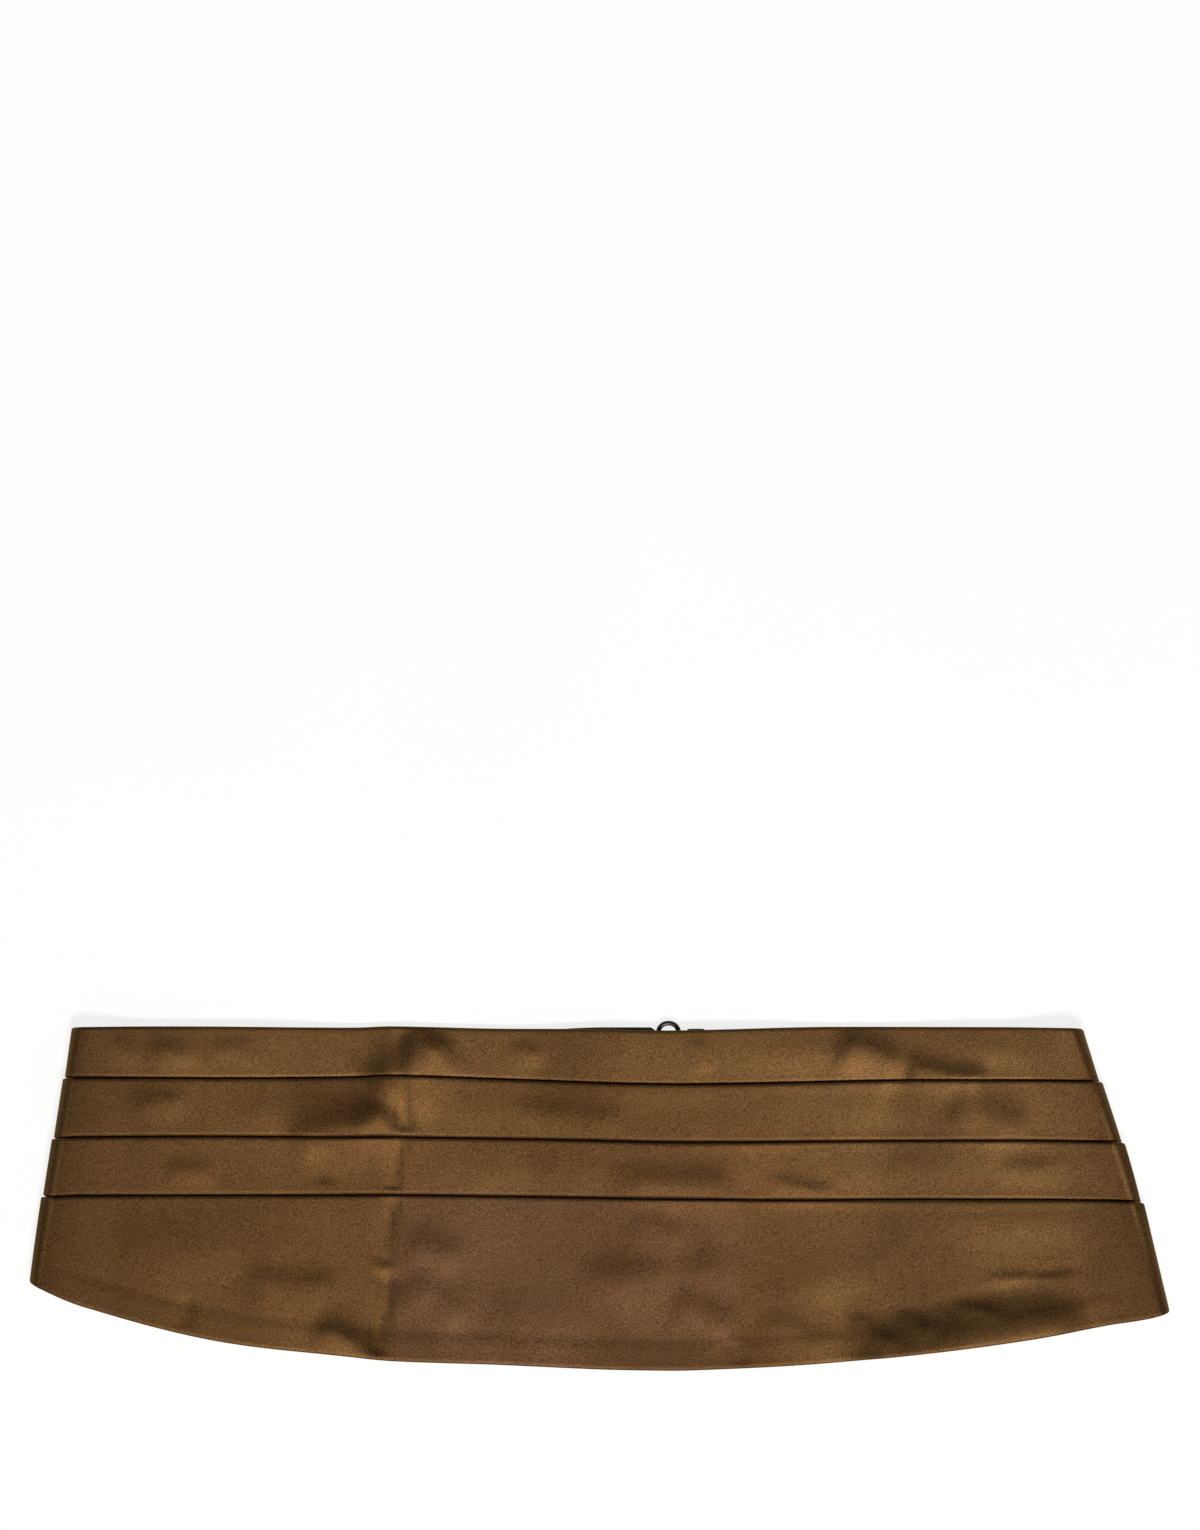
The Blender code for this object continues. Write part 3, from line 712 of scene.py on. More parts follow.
class Route:
    """A strap half's middle in plan, by the length along it from the bar that it is sewn round."""

    def __init__(self, side, bar, width):
        self.width = width
        start = Vector((bar.x + side.out * STRAP_STRAIGHT, bar.y, 0))
        corner, square, along = (Vector(v) for v in end_corner(side))
        end = corner - along * STRAP_FROM_CORNER[side.name]
        self.seam, self.square = end - square * SEAM_GAP, square
        reach = abs(end.x - start.x) * STRAP_BEND
        lean = Vector((-side.out * math.cos(STRAP_LEAN), math.sin(STRAP_LEAN), 0))
        controls = (start, start + Vector((side.out * reach, 0, 0)), end + lean * reach, end)
        count = round((end - start).length / STRAP_STEP)
        self.points = [Vector((bar.x, bar.y, 0))]
        for k in range(count + 1):
            row = controls
            while len(row) > 1:
                row = [a.lerp(b, k / count) for a, b in zip(row, row[1:])]
            self.points.append(row[0])
        steps = [(b - a).length for a, b in zip(self.points, self.points[1:])]
        self.run = np.concatenate(([0], np.cumsum(steps)))
        self.length = float(self.run[-1])

    def at(self, length):
        """The middle at a length, and the unit direction outwards."""
        last = len(self.points) - 2
        k = int(np.clip(np.searchsorted(self.run, length) - 1, 0, last))
        share = (length - self.run[k]) / (self.run[k + 1] - self.run[k])
        before, after = max(k - 1, 0), min(k + 2, last + 1)
        heading = (self.points[after] - self.points[before]).normalized()
        return self.points[k].lerp(self.points[k + 1], share), heading

    def place(self, length, share):
        """A point at a share of the way from the ribbon's middle to its edge, from -1 to 1."""
        middle, heading = self.at(length)
        width = mix(self.width, STRAP_WIDTH, float(smooth(length / DRAWN_LENGTH)))
        across = Vector((-heading.y, heading.x, 0)) * share
        place = middle + across * width / 2
        turned = float(smooth((length - self.length + SEAM_SHEAR) / SEAM_SHEAR))
        if turned > 0:
            last, _ = self.at(self.length)
            aside = last + across * STRAP_WIDTH / 2
            short = (self.seam - aside).dot(self.square)
            place += heading * short / heading.dot(self.square) * turned
        return place


HALF_ACROSS = (-1, -0.985, -0.96, -0.9, -0.75, -0.6, -0.45, -0.3, -0.15)
ACROSS = (*HALF_ACROSS, 0, *(-share for share in reversed(HALF_ACROSS)))
EDGE_ROUND = 0.05  # share of a strip's half width that is rounded, at each edge
EDGE_LEAST = 0.08


def round_edge(share):
    """Half thickness of a strip at a share of its half width, with rounded edges."""
    past = max(abs(share) - (1 - EDGE_ROUND), 0) / EDGE_ROUND
    return math.sqrt(max(EDGE_LEAST, 1 - past**2))


def strip_points(line, thickness, place):
    """The points round a flat strip along a line of (length, height) points. place makes one from
    the row of the line, and the share across, length and height of the point."""
    upper, lower = sides_of(line, thickness)
    middle, half = (upper + lower) / 2, (upper - lower) / 2
    points = []
    for row, (m, h) in enumerate(zip(middle, half)):
        for sign, shares in ((1, ACROSS), (-1, ACROSS[::-1])):
            points += [place(row, share, *(m + sign * h * round_edge(share))) for share in shares]
    return points


def ribbon_strip(name, line, place, lift, finish):
    """A ribbon along a line. place gives the plan of a (length, share across), and lift what is
    added to the height there."""

    def put(_, share, length, height):
        at = place(length, share)
        return at.x, at.y, height + lift(length, share, height)

    points = strip_points(line, RIBBON, put)
    size = 2 * len(ACROSS)
    built = make_object(name, points, wall_faces(size, len(line)), finish, 50)
    run = np.concatenate(([0], np.cumsum(np.linalg.norm(np.diff(line, axis=0), axis=1))))
    across = np.array(ACROSS + ACROSS[::-1]) * STRAP_WIDTH / 2
    lay = np.stack((np.repeat(run, size), np.tile(across, len(line))), axis=1)
    lay_uv(built, lay)
    return built, float(run[-1])


def lay_uv(built, lay):
    """Gives a piece a UV map from one (U, V) for each of its points, in metres."""
    uv = built.data.uv_layers.new(name="cloth")
    corner = np.empty(len(built.data.loops), dtype=np.int32)
    built.data.loops.foreach_get("vertex_index", corner)
    uv.data.foreach_set("uv", lay[corner].ravel())


def strap_height(length, whole, top):
    """The ribbon's middle on its way out from the top of a bar: down, over its end, to the seam."""
    lap = RIBBON_Z + RIBBON_LAYER
    height = mix(top, lap, smooth(length / LAP_STARTS))
    past = SEWN_BACK + LAP_CLEAR
    height = mix(height, RIBBON_Z, smooth((length - past) / (LAP_ENDS - past)))
    return mix(height, SEAM_Z, smooth((length - whole + SEAM_RISE) / SEAM_RISE))


def wrap_of(core):
    """From the middle of a bar to the middle of the ribbon round it."""
    return core + RIBBON / 2 + WRAP_EASE


def arc_points(centre, height, radius, angles):
    """Points round a bar, at angles in degrees."""
    turned = [math.radians(angle) for angle in angles]
    return [(centre + radius * math.cos(a), height + radius * math.sin(a)) for a in turned]


def strap_half(name, side, bar, core, width, ribbon):
    """One half of the strap, sewn round a bar whose widest half is core."""
    route = Route(side, bar, width)
    wrap = wrap_of(core)
    back = [SEWN_BACK * (1 - k / BACK_STEPS) for k in range(BACK_STEPS)]
    line = [(s, mix(bar.z - wrap, RIBBON_Z, float(smooth(2 * s / SEWN_BACK)))) for s in back]
    arc = arc_points(0, bar.z, wrap, range(-90, 91, WRAP_TURN))
    line += [(-length, height) for length, height in arc]
    count = round(route.length / STRAP_STEP)
    for k in range(1, count + 1):
        length = route.length * k / count
        line.append((length, float(strap_height(length, route.length, bar.z + wrap))))

    def lift(length, share, height):
        drawn = 1 - float(smooth(length / GATHER_LENGTH))
        drawn *= (STRAP_WIDTH - width) / (STRAP_WIDTH - DRAWN_IN)
        added = GATHER_DEPTH * drawn * (1 + math.cos(share * GATHERS * math.pi)) / 2
        if length < LAP_ENDS:
            share_out = min(max(length, 0) / LAP_STARTS, 1)
            over_bar = max(mix(bar.z, LAP_UNDER, share_out), LAP_UNDER)
            return added * float(smooth((height - over_bar) / wrap))
        for crease in STRAP_CREASES[side.name]:
            away = length / MM - crease.at - crease.slant * share * HALF_RIBBON
            added += crease.height * MM * math.exp(-((away / crease.spread) ** 2))
        return added * (1 - float(smooth((length - route.length + SEAM_RISE) / SEAM_RISE)))

    built, run = ribbon_strip(name, line, route.place, lift, ribbon)
    return built, route, run


def closure_hook(metal):
    """The flat hook: its lip turns under the loop, and its slot leaves a bar for the strap."""
    centre = LOOP.x + (LOOP_WIDTH - WIRE) / 2
    wrap = WIRE / 2 + HOOK_PLATE / 2 + HOOK_EASE
    lip = [centre + HOOK_LIP * (1 - k / LIP_STEPS) for k in range(LIP_STEPS)]
    line = [(x, LOOP.z - wrap) for x in lip]
    line += arc_points(centre, LOOP.z, wrap, range(270, 89, -WRAP_TURN))
    shoulder = len(line)
    plate_end = BAR.x + BAR_WIDTH / 2
    flat_from = BAR.x - BAR_WIDTH / 2 - SLOT.x - HOOK_PLATE
    for k in range(1, PLATE_STEPS + 1):
        x = mix(centre, plate_end, k / PLATE_STEPS)
        fall = float(smooth((x - centre - TONGUE_LENGTH) / (flat_from - centre - TONGUE_LENGTH)))
        line.append((x, mix(LOOP.z + wrap, BAR.z, fall)))
    widths = []
    for k, (x, _) in enumerate(line):
        widened = float(smooth((x - centre - TONGUE_LENGTH) / SHOULDER)) if k >= shoulder else 0
        width = mix(TONGUE_WIDTH, HOOK_WIDTH, widened)
        left = lip[0] - x if k < LIP_STEPS else plate_end - x
        if left < HOOK_CORNER and not LIP_STEPS <= k < shoulder:
            width -= 2 * (HOOK_CORNER - math.sqrt(HOOK_CORNER**2 - (HOOK_CORNER - left) ** 2))
        widths.append(width)

    def put(row, share, x, z):
        return x, BAR.y + share * widths[row] / 2, z

    points = strip_points(line, HOOK_PLATE, put)
    built = make_object("hook", points, wall_faces(2 * len(ACROSS), len(line)), metal, 40)
    shape = bmesh.new()
    bmesh.ops.create_cube(shape, size=1)
    bmesh.ops.scale(shape, vec=SLOT, verts=shape.verts)
    upright = [e for e in shape.edges if abs(e.verts[0].co.z - e.verts[1].co.z) > SLOT.z / 2]
    bmesh.ops.bevel(shape, geom=upright, offset=SLOT_CORNER, segments=3, affect="EDGES")
    middle_x = BAR.x - (BAR_WIDTH + SLOT.x) / 2
    bmesh.ops.translate(shape, vec=(middle_x, BAR.y, BAR.z), verts=shape.verts)
    mesh = bpy.data.meshes.new("slot")
    shape.to_mesh(mesh)
    shape.free()
    cutter = add_object("slot", mesh)
    cut = built.modifiers.new("slot", "BOOLEAN")
    cut.object = cutter
    finished = plain_mesh(built)
    bpy.data.objects.remove(cutter)
    finished.data.set_sharp_from_angle(angle=math.radians(40))
    return finished


def plain_mesh(source, name=None):
    """The evaluated form of an object as a plain mesh object, in place of it."""
    name = name or source.name
    depsgraph = bpy.context.evaluated_depsgraph_get()
    mesh = bpy.data.meshes.new_from_object(source.evaluated_get(depsgraph), depsgraph=depsgraph)
    bpy.data.objects.remove(source)
    return add_object(name, mesh)


def add_node(tree, kind, settings, sockets):
    """A node of a type, its settings first, then the values or links of its sockets. A socket is
    named with _ for a space, or by _ and its number."""
    node = tree.nodes.new(kind)
    for key, value in (settings or {}).items():
        setattr(node, key, value)
    for key, value in sockets.items():
        port = node.inputs[int(key[1:]) if key[1:].isdigit() else key.replace("_", " ")]
        if isinstance(value, bpy.types.NodeSocket):
            tree.links.new(value, port)
        else:
            port.default_value = value
    return node


class Tree:
    """A Geometry Nodes tree in the making, with named inputs."""

    def __init__(self, name, inputs):
        self.group = bpy.data.node_groups.new(name, "GeometryNodeTree")
        self.ports = {}
        for key, kind in (("Geometry", "NodeSocketGeometry"), *inputs):
            self.ports[key] = self.group.interface.new_socket(name=key, socket_type=kind)
        out = {"in_out": "OUTPUT", "socket_type": "NodeSocketGeometry"}
        self.group.interface.new_socket(name="Geometry", **out)
        self.start = self.group.nodes.new("NodeGroupInput")

    def input(self, name):
        return self.start.outputs[name]

    def node(self, kind, settings=None, **sockets):
        return add_node(self.group, kind, settings, sockets).outputs[0]

    def finish(self, geometry, material):
        real = self.node("GeometryNodeRealizeInstances", Geometry=geometry)
        soft = self.node("GeometryNodeSetShadeSmooth", Geometry=real)
        done = self.node("GeometryNodeSetMaterial", Geometry=soft, Material=material)
        end = self.group.nodes.new("NodeGroupOutput")
        self.group.links.new(done, end.inputs["Geometry"])

    def apply(self, name, lines, **values):
        """Runs the tree on open or closed lines of points and returns the mesh object."""
        data = bpy.data.curves.new(name, "CURVE")
        data.dimensions = "3D"
        for line, closed in lines:
            spline = data.splines.new("POLY")
            spline.points.add(len(line) - 1)
            spline.points.foreach_set("co", [c for point in line for c in (*point, 1)])
            spline.use_cyclic_u = closed
        source = add_object(name, data)
        modifier = source.modifiers.new(name, "NODES")
        modifier.node_group = self.group
        for key, value in values.items():
            modifier[self.ports[key].identifier] = value
        return plain_mesh(source, name)


def wire_tree(material):
    """A round wire along each line."""
    tree = Tree("wire", (("Radius", "NodeSocketFloat"),))
    radius = tree.input("Radius")
    section = tree.node("GeometryNodeCurvePrimitiveCircle", Resolution=WIRE_SIDES, Radius=radius)
    wire = tree.node("GeometryNodeCurveToMesh", Curve=tree.input("Geometry"), Profile_Curve=section)
    tree.finish(wire, material)
    return tree


STITCH_SIZES = ((0.88, 0.9, 0.9), (1.06, 1.05, 1.05))  # the least and the most of each, as shares


def stitch_tree(name, material):
    """A row of stitches along each line. Turn is their angle to the line, in radians."""
    ports = ("Pitch", "Length", "Thickness", "Turn")
    tree = Tree(name, [(port, "NodeSocketFloat") for port in ports])
    line, pitch = tree.input("Geometry"), tree.input("Pitch")
    by_length = {"mode": "LENGTH"}
    spread = tree.node("GeometryNodeResampleCurve", by_length, Curve=line, Length=pitch)
    thick = tree.input("Thickness")
    size = tree.node("ShaderNodeCombineXYZ", X=tree.input("Length"), Y=thick, Z=thick)
    turn = tree.node("ShaderNodeCombineXYZ", Z=tree.input("Turn"))
    ball = tree.node("GeometryNodeMeshUVSphere", Segments=8, Rings=6, Radius=0.5)
    stitch = tree.node("GeometryNodeTransform", Geometry=ball, Scale=size, Rotation=turn)
    tangent = tree.node("GeometryNodeInputTangent")
    heading = tree.node("FunctionNodeAlignRotationToVector", {"axis": "X"}, Vector=tangent)
    vector = {"data_type": "FLOAT_VECTOR"}
    least, most = STITCH_SIZES
    uneven = tree.node("FunctionNodeRandomValue", vector, Min=least, Max=most, Seed=7)
    placed = {"Points": spread, "Instance": stitch, "Rotation": heading, "Scale": uneven}
    row = tree.node("GeometryNodeInstanceOnPoints", **placed)
    tree.finish(row, material)
    return tree


def closure_loop(metal):
    """The rounded wire loop, made by sweeping a round section along its path."""
    half = Vector(((LOOP_WIDTH - WIRE) / 2, (LOOP_HEIGHT - WIRE) / 2))
    path = []
    for quarter, sign in enumerate(((1, 1), (-1, 1), (-1, -1), (1, -1))):
        x = LOOP.x + sign[0] * (half.x - LOOP_CORNER)
        y = LOOP.y + sign[1] * (half.y - LOOP_CORNER)
        turns = [90 * (quarter + step / CORNER_STEPS) for step in range(CORNER_STEPS + 1)]
        path += [(*at, LOOP.z) for at in arc_points(x, y, LOOP_CORNER, turns)]
    return wire_tree(metal).apply("loop", [(path, True)], Radius=WIRE / 2)


# ---------------------------------------------------------------- the lines that are sewn


HEM_ROW = HEM_DEPTH - 0.8 * MM  # from the panel's edge
HEM_STATIONS = (0.09, 0.91)  # the first and last on the front, as shares of the way across
HEM_PLACES = 120
TURNED_FROM = 5 * MM  # past the fold, where the row on a turned end begins
TURNED_LEFT = 3 * MM  # before its cut, where it ends
TURNED_PLACES = 24


def edge_at(name, place, rise):
    """Height, on one section, of a line that runs this far above an edge of the panel."""
    y = 0
    for _ in range(4):
        y = read(SECTIONS, name, place(y)) + rise
    return y


def front_hem(name, rise):
    """Where a hem of the front is sewn down, on the back of its lowest layer."""
    line = []
    for k in range(HEM_PLACES + 1):
        station = mix(*HEM_STATIONS, k / HEM_PLACES)
        y = edge_at(name, lambda v: front_x(v, station), rise)
        x = front_x(y, station)
        z = float(support(x, y)) + LIFTED
        line.append((x, y, z + float(front_lift(x, y, z, station)) - CLOTH / 2))
    return line


def turned_hem(name, rise, side):
    """Where a hem of a turned end is sewn down, on its upper side."""
    square, _ = fold_axes(side)
    line = []
    for k in range(TURNED_PLACES + 1):
        past = mix(TURNED_FROM, side.reach - TURNED_LEFT, k / TURNED_PLACES)
        distance = HALF_TURN + past
        shift = side.out * distance / math.cos(side.slant)
        y = edge_at(name, lambda v: fold_x(side, v) + shift, rise)
        x, y, _ = fold_foot(side, y, distance) - square * past
        lift = float(relief(x, y, TURNED_CREASES, ())) * float(smooth(past / TURNED_GRIP))
        line.append((x, y, LAYER + CLOTH + lift))
    return line


def hem_lines():
    """Where each hem is sewn down: on the back of the front, and on both turned ends."""
    lines = []
    for name, rise in (("top", -HEM_ROW), ("bottom", HEM_ROW)):
        lines.append((front_hem(name, rise), False))
        lines += [(turned_hem(name, rise, side), False) for side in (LEFT, RIGHT)]
    return lines


def lap_lines(route, top):
    """The two rows that close the ribbon round its bar, on its upper side."""
    lines = []
    for length in LAP_ROWS:
        z = float(strap_height(length, route.length, top)) + RIBBON / 2
        places = [route.place(length, share / 10) for share in range(-8, 9)]
        lines.append(([(at.x, at.y, z) for at in places], False))
    return lines


def seam_line(route):
    """Where the ribbon meets the cut of the turned end."""
    places = [route.place(route.length, share / 10) for share in range(-9, 10)]
    return [([(at.x, at.y, SEAM_Z + RIBBON / 2) for at in places], False)]


# ---------------------------------------------------------------- shader maths


class Value:
    """A socket of a node tree, with arithmetic that adds its Math nodes."""

    def __init__(self, tree, socket):
        self.tree = tree
        self.socket = socket

    def _math(self, operation, *values):
        sockets = [value.socket if isinstance(value, Value) else value for value in values]
        node = add_node(
            self.tree,
            "ShaderNodeMath",
            {"operation": operation},
            {f"_{slot}": socket for slot, socket in enumerate(sockets)},
        )
        return Value(self.tree, node.outputs[0])

    def __add__(self, other):
        return self._math("ADD", self, other)

    def __mul__(self, other):
        return self._math("MULTIPLY", self, other)

    def __sub__(self, other):
        return self._math("SUBTRACT", self, other)

    def __rsub__(self, other):
        return self._math("SUBTRACT", other, self)

    __radd__, __rmul__ = __add__, __mul__

    def absolute(self):
        return self._math("ABSOLUTE", self)

    def sine(self):
        return self._math("SINE", self)

    def ramp(self, low, high):
        """0 at low, 1 at high, softly."""
        node = self.tree.nodes.new("ShaderNodeMapRange")
        node.interpolation_type = "SMOOTHSTEP"
        self.tree.links.new(self.socket, node.inputs["Value"])
        node.inputs["From Min"].default_value = low
        node.inputs["From Max"].default_value = high
        return Value(self.tree, node.outputs["Result"])

    def between(self, low, full, falls, high):
        """0 at low, 1 from full to falls, 0 at high."""
        return self.ramp(low, full) * (1 - self.ramp(falls, high))


class Finish:
    """A material in the making: its tree, its shader, and one method for any other node."""

    def __init__(self, name, roughness, metallic=0.0, **constants):
        self.material = bpy.data.materials.new(name)
        self.material.use_nodes = True
        self.tree = self.material.node_tree
        self.shader = self.tree.nodes["Principled BSDF"]
        self.shader.inputs["Roughness"].default_value = roughness
        self.shader.inputs["Metallic"].default_value = metallic
        for key, value in constants.items():
            self.shader.inputs[key.replace("_", " ")].default_value = value

    def node(self, kind, settings=None, output=0, **sockets):
        links = {k: v.socket if isinstance(v, Value) else v for k, v in sockets.items()}
        return Value(self.tree, add_node(self.tree, kind, settings, links).outputs[output])

    def place(self, space="Object"):
        return self.node("ShaderNodeTexCoord", output=space)

    def axis(self, vector, name):
        return self.node("ShaderNodeSeparateXYZ", output=name, Vector=vector)

    def noise(self, vector, scale, detail=2.0, roughness=0.5, distortion=0.0):
        sockets = {"Vector": vector, "Scale": scale, "Detail": detail, "Roughness": roughness}
        return self.node("ShaderNodeTexNoise", Distortion=distortion, **sockets)

    def blend(self, first, last, share, how="MIX"):
        """A colour between two, or one times another."""
        settings = {"data_type": "RGBA", "blend_type": how}
        return self.node("ShaderNodeMix", settings, output=2, _6=first, _7=last, _0=share)

    def set(self, name, value):
        self.tree.links.new(value.socket, self.shader.inputs[name])

    def bump(self, height, strength, distance, under=None):
        sockets = {"Height": height, "Strength": strength, "Distance": distance}
        if under is not None:
            sockets["Normal"] = under
        return self.node("ShaderNodeBump", **sockets)


def satin_finish():
    """Bronze-brown satin, golden at the sides, with light and shade painted into its colour: a
    rosier painted reflection at the middle of the deep band, painted light toward the right, on the
    top band and along the rims of the side folds, and painted shade in soft blotches, toward both
    side folds, over the closure and past the left turned end.
    """
    tint = (1.0, 0.80, 0.55, 1)
    made = Finish("bronze_satin", 0.40, Specular_IOR_Level=0.30, Specular_Tint=tint)
    where = made.place()
    x, y = made.axis(where, "X"), made.axis(where, "Y")
    golden, rosy_painted_reflection = (0.118, 0.0590, 0.0206, 1), (0.122, 0.0620, 0.0314, 1)
    right_painted_light, painted_light_tone = (0.138, 0.0720, 0.0275, 1), (0.160, 0.0830, 0.0300, 1)
    painted_shade_tone, fold_shade_tone = (0.074, 0.0346, 0.0118, 1), (0.058, 0.0275, 0.0100, 1)
    # paler toward the right: painted light, for the light falling more strongly on the right
    colour = made.blend(golden, right_painted_light, x.ramp(0.04, 0.11) * 0.55)
    # rosier at the middle of the deep band, between the storage creases: a painted reflection tint,
    # for the sheen of a part that tilts another way
    middle = x.between(-0.088, -0.070, 0.046, 0.062) * (1 - y.ramp(-0.010, 0.012))
    colour = made.blend(colour, rosy_painted_reflection, middle * 0.85)
    # soft darker blotches: painted shade, for the light and dark of gentle undulations in the satin
    blotchy_painted_shade = made.noise(where, 38, 3, 0.55, 0.4).ramp(0.40, 0.72)
    colour = made.blend(colour, painted_shade_tone, blotchy_painted_shade * 0.34)
    upper = y.ramp(0.0435, 0.0465)
    # darker over the closure, below the top band: painted shade, where the closure under the front
    # tilts it away from the light
    closure_painted_shade = x.between(-0.03, 0.008, 0.062, 0.090) * (1 - upper)
    colour = made.blend(colour, painted_shade_tone, closure_painted_shade * 0.42)
    # darker past the end of the left turned end: painted shade, against the light that the raised
    # front catches there
    past_end_painted_shade = x.between(-0.128, -0.110, -0.088, -0.074) * y.ramp(-0.006, 0.004)
    colour = made.blend(colour, painted_shade_tone, past_end_painted_shade * 0.60)
    # the top band, above the first pleat line, lighter: painted light, for the way its slope
    # catches the light
    colour = made.blend(colour, painted_light_tone, upper * 0.5)
    from_left = x + 0.2105 - 0.17 * (y - 0.002)
    from_right = 0.2035 - 0.317 * (y - 0.002) - x
    # darker toward both side folds and toward the right end: painted shade, where the cloth rounds
    # away from the light
    fold_painted_shade = from_left.ramp(0.050, 0.0) * 0.9 + from_right.ramp(0.015, 0.0) * 0.4
    colour = made.blend(colour, fold_shade_tone, fold_painted_shade + x.ramp(0.165, 0.206) * 0.55)
    # lighter along the rims of the side folds: painted sheen, as pressed fold edges shine
    rim = from_left.between(0.0015, -0.0008, -0.0025, -0.0042)
    rim = rim + from_right.between(0.0015, -0.0008, -0.0025, -0.0045)
    colour = made.blend(colour, painted_light_tone, rim * 0.75)
    grain = made.noise(where, 1700, 2, 0.6)
    dark = (0.52, 0.50, 0.47, 1)
    made.set("Base Color", made.blend(colour, dark, 1 - grain.ramp(0.38, 0.60), "MULTIPLY"))
    made.set("Roughness", 0.45 + 0.08 * made.noise(where, 70, 2) + 0.06 * grain)
    made.set("Metallic", 0.86 + 0.10 * made.noise(where, 55, 2))
    cloth = made.place("UV")
    u, v = made.axis(cloth, "X"), made.axis(cloth, "Y")
    weave = ((u * 6400).sine() * (v * 2600).sine()) * 0.5
    normal = made.bump(made.noise(where, 160, 3, 0.6), 0.14, 0.0006)
    normal = made.bump(grain, 0.30, 0.00018, normal)
    normal = made.bump(weave, 0.20, 0.00008, normal)
    made.set("Normal", normal)
    return made.material


RIB_PITCH = 0.0007


def ribbon_finish():
    """Navy-black ribbon with fine ribs across it and a bluish gloss, and a painted sheen along its
    edges.
    """
    sheen = {"Sheen_Weight": 0.5, "Sheen_Roughness": 0.4, "Sheen_Tint": (0.78, 0.74, 0.92, 1)}
    made = Finish("navy_ribbon", 0.42, Specular_IOR_Level=0.55, **sheen)
    where = made.place("UV")
    u, v = made.axis(where, "X"), made.axis(where, "Y")
    ribs = (u * (2 * math.pi / RIB_PITCH)).sine()
    # lighter, lilac-grey edges: painted sheen, where the ribbon's edges catch the light
    edge_painted_sheen = v.absolute().ramp(0.0071, 0.0078)
    wear = made.noise(made.place(), 240, 3, 0.6)
    navy, worn = (0.0105, 0.0120, 0.0240, 1), (0.030, 0.032, 0.050, 1)
    colour = made.blend(navy, worn, wear.ramp(0.5, 0.8) * 0.5)
    colour = made.blend(colour, (0.085, 0.083, 0.125, 1), edge_painted_sheen * 0.7)
    made.set("Base Color", colour)
    made.set("Roughness", 0.36 + 0.16 * wear)
    normal = made.bump(ribs, 0.45, 0.00012)
    normal = made.bump(wear, 0.25, 0.0001, normal)
    made.set("Normal", normal)
    return made.material


def enamel_finish():
    """Black enamel over metal, a little worn and dusty."""
    made = Finish("black_enamel", 0.34, Coat_Weight=0.3, Coat_Roughness=0.2)
    where = made.place()
    wear = made.noise(where, 520, 4, 0.65)
    rubbed = wear.ramp(0.62, 0.78)
    black, grey = (0.007, 0.007, 0.008, 1), (0.060, 0.058, 0.056, 1)
    made.set("Base Color", made.blend(black, grey, rubbed * 0.4))
    made.set("Metallic", 0.25 + 0.6 * rubbed)
    made.set("Roughness", 0.32 + 0.22 * wear)
    made.set("Normal", made.bump(wear, 0.2, 0.00006))
    return made.material


def thread_finish(name, colour):
    """Sewing thread, with the twist of its plies."""
    made = Finish(name, 0.55, Sheen_Weight=0.3)
    where = made.place()
    x, y = made.axis(where, "X"), made.axis(where, "Y")
    ply = ((x + y) * 12000).sine()
    darker = tuple(c * 0.6 for c in colour[:3]) + (1,)
    made.set("Base Color", made.blend(colour, darker, ply.ramp(-0.4, 0.9)))
    made.set("Normal", made.bump(ply, 0.4, 0.00008))
    return made.material


def floor_finish():
    """White paper on a light table, which thins the shadow round the cloth."""
    made = Finish("pale_paper", 0.8, Specular_IOR_Level=0.2, Emission_Strength=0.83)
    tint = made.noise(made.place(), 6, 3, 0.5)
    made.set("Base Color", made.blend((0.165, 0.165, 0.165, 1), (0.18, 0.18, 0.18, 1), tint))
    made.shader.inputs["Emission Color"].default_value = (1, 1, 1, 1)
    return made.material


# ---------------------------------------------------------------- camera, lights, floor

PHOTO_MIDDLE_X = 0.00014
PHOTO_MIDDLE_Y = 0.16640
PHOTO_HEIGHT = 0.59140  # of the photo's frame, on the surface
CAMERA_HEIGHT = 3.2
SENSOR = 36.0
FLOOR_HALF = 4.0


def add_camera():
    data = bpy.data.cameras.new("camera")
    data.sensor_fit = "VERTICAL"
    data.sensor_height = data.sensor_width = SENSOR
    data.lens = SENSOR * CAMERA_HEIGHT / PHOTO_HEIGHT
    data.clip_start, data.clip_end = 0.1, 20.0
    camera = add_object("camera", data)
    camera.location = (PHOTO_MIDDLE_X, PHOTO_MIDDLE_Y, CAMERA_HEIGHT)
    bpy.context.scene.camera = camera


def add_light(name, place, aim, size, power, colour=(1, 1, 1)):
    data = bpy.data.lights.new(name, "AREA")
    data.shape = "RECTANGLE"
    data.size, data.size_y = size
    data.energy = power
    data.color = colour
    lamp = add_object(name, data)
    lamp.location = place
    lamp.rotation_euler = (Vector(aim) - Vector(place)).to_track_quat("-Z", "Y").to_euler()


def studio_walls():
    """A room with pale walls and a dim ceiling."""
    world = bpy.data.worlds.new("studio")
    world.use_nodes = True
    tree = world.node_tree
    place = tree.nodes.new("ShaderNodeTexCoord")
    split = tree.nodes.new("ShaderNodeSeparateXYZ")
    tree.links.new(place.outputs["Generated"], split.inputs[0])
    height = Value(tree, split.outputs["Z"])
    strength = 0.07 + 0.60 * (1 - height.ramp(0.10, 0.55))
    background = tree.nodes["Background"]
    background.inputs["Color"].default_value = (1, 1, 1, 1)
    tree.links.new(strength.socket, background.inputs["Strength"])
    return world


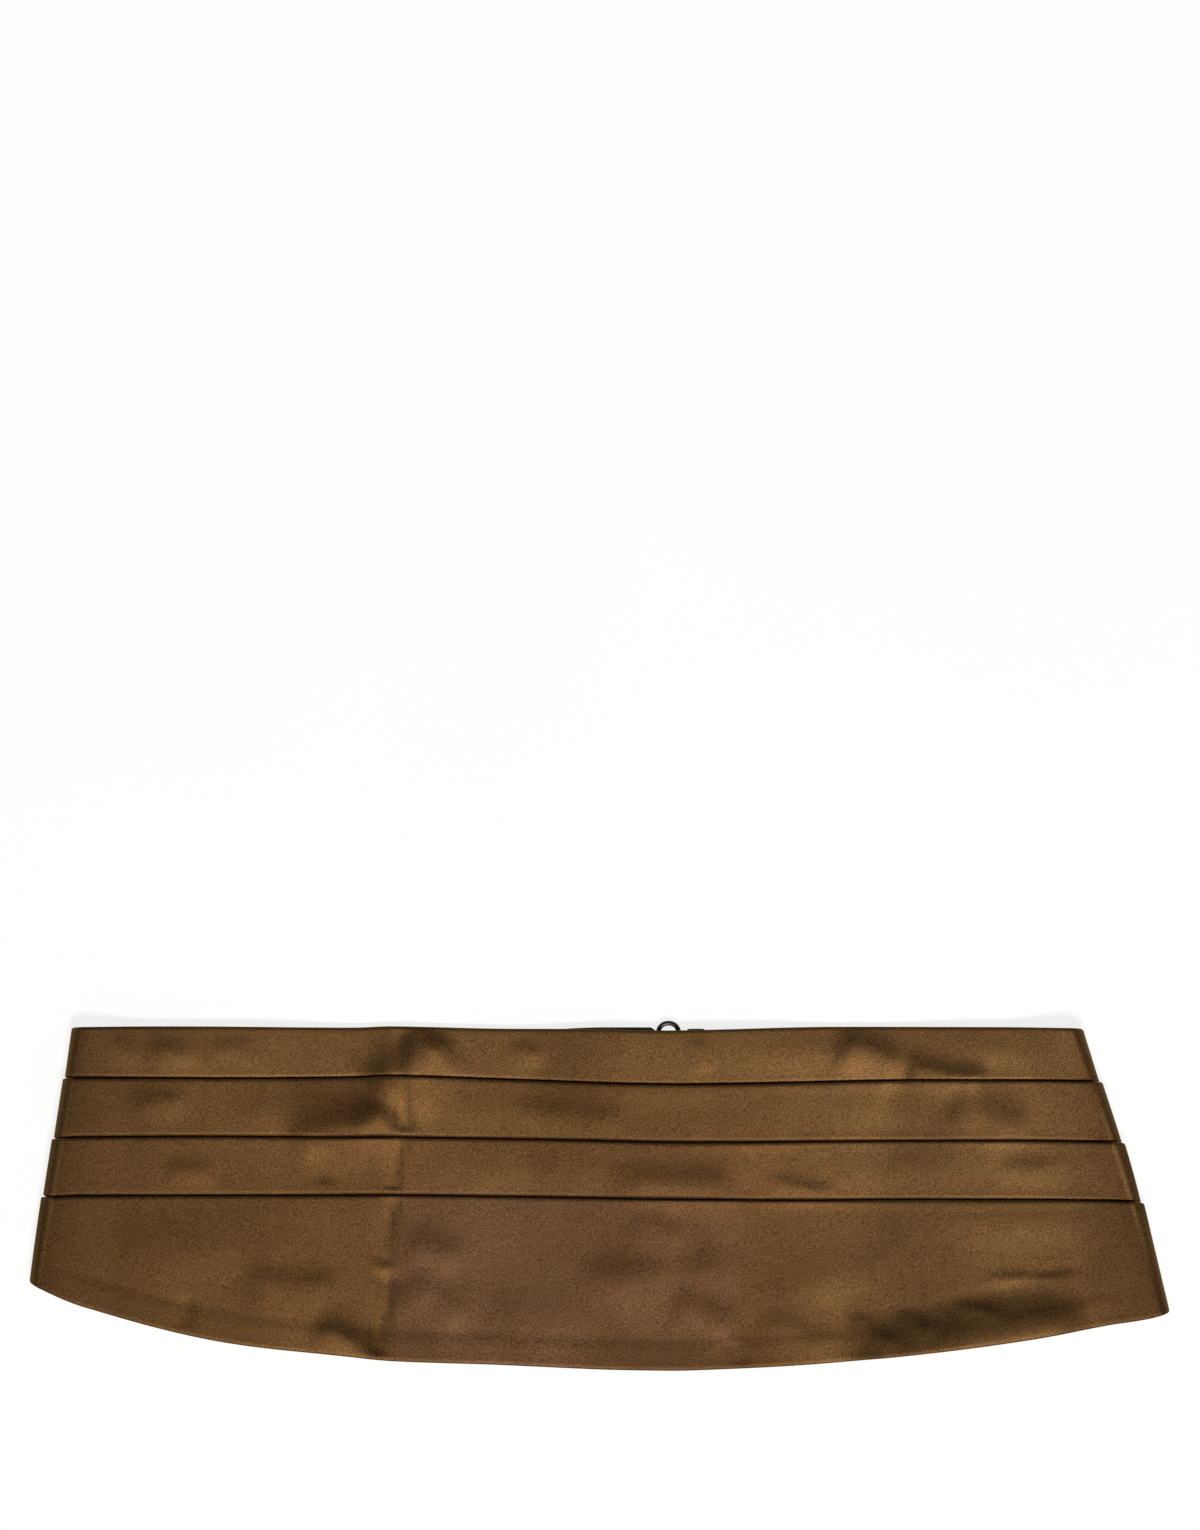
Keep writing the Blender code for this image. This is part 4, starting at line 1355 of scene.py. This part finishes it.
def add_lights():
    add_light("window_side", (0.6, -2.15, 4.0), (0, 0, 0), (1.8, 1.0), 205, (1, 0.99, 0.97))
    bpy.context.scene.world = studio_walls()


def add_floor():
    mesh = bpy.data.meshes.new("floor")
    r = FLOOR_HALF
    mesh.from_pydata([(-r, -r, 0), (r, -r, 0), (r, r, 0), (-r, r, 0)], [], [(0, 1, 2, 3)])
    mesh.materials.append(floor_finish())
    return add_object("floor", mesh)


# ---------------------------------------------------------------- building

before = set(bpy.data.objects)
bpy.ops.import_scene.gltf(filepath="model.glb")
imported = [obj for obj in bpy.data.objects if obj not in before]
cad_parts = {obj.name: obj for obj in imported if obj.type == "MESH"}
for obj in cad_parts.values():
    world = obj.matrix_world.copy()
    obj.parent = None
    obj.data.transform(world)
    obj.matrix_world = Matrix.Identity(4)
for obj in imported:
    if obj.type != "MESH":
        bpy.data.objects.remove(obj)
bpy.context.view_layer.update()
bpy.context.scene.view_settings.view_transform = "Standard"

satin, ribbon, enamel = satin_finish(), ribbon_finish(), enamel_finish()
brown_thread = thread_finish("brown_thread", (0.085, 0.045, 0.018, 1))
navy_thread = thread_finish("navy_thread", (0.016, 0.017, 0.030, 1))

panel, cloth_middle = pleated_panel(satin)
loop_bar = Vector((LOOP.x - (LOOP_WIDTH - WIRE) / 2, LEFT_STRAP_Y, LOOP.z))
halves = {}
for side, bar, core, width in (
    (LEFT, loop_bar, WIRE / 2, DRAWN_IN),
    (RIGHT, BAR, BAR_CORE, STRAP_WIDTH),
):
    halves[side.name] = strap_half(f"ribbon_{side.name}", side, bar, core, width, ribbon)

for piece, node, slot in (
    (panel, "pleated_panel", "satin"),
    (halves["left"][0], "strap_left", "strap"),
    (halves["right"][0], "strap_right", "strap"),
    (closure_loop(enamel), "closure_loop", "hardware"),
    (closure_hook(enamel), "closure_hook", "hardware"),
):
    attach(piece, "root")
    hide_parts(node)

hem_row = stitch_tree("hem_row", brown_thread)
strap_row = stitch_tree("strap_row", navy_thread)
hem_stitches = hem_row.apply(
    "hem_stitches", hem_lines(), Pitch=4.6 * MM, Length=1.5 * MM, Thickness=0.26 * MM, Turn=0.5
)
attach(hem_stitches, "root")
LAP_STITCH = {"Pitch": 1.9 * MM, "Length": 1.6 * MM, "Thickness": 0.3 * MM, "Turn": 0.0}
SEAM_STITCH = {"Pitch": 1.3 * MM, "Length": 2.4 * MM, "Thickness": 0.3 * MM, "Turn": 1.45}
sewn = {}
for name, top in (("left", loop_bar.z + wrap_of(WIRE / 2)), ("right", BAR.z + wrap_of(BAR_CORE))):
    route = halves[name][1]
    sewn[name] = [
        strap_row.apply(f"lap_stitches_{name}", lap_lines(route, top), **LAP_STITCH),
        strap_row.apply(f"seam_stitches_{name}", seam_line(route), **SEAM_STITCH),
    ]
    for piece in sewn[name]:
        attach(piece, "root")

add_camera()
add_lights()
add_floor()
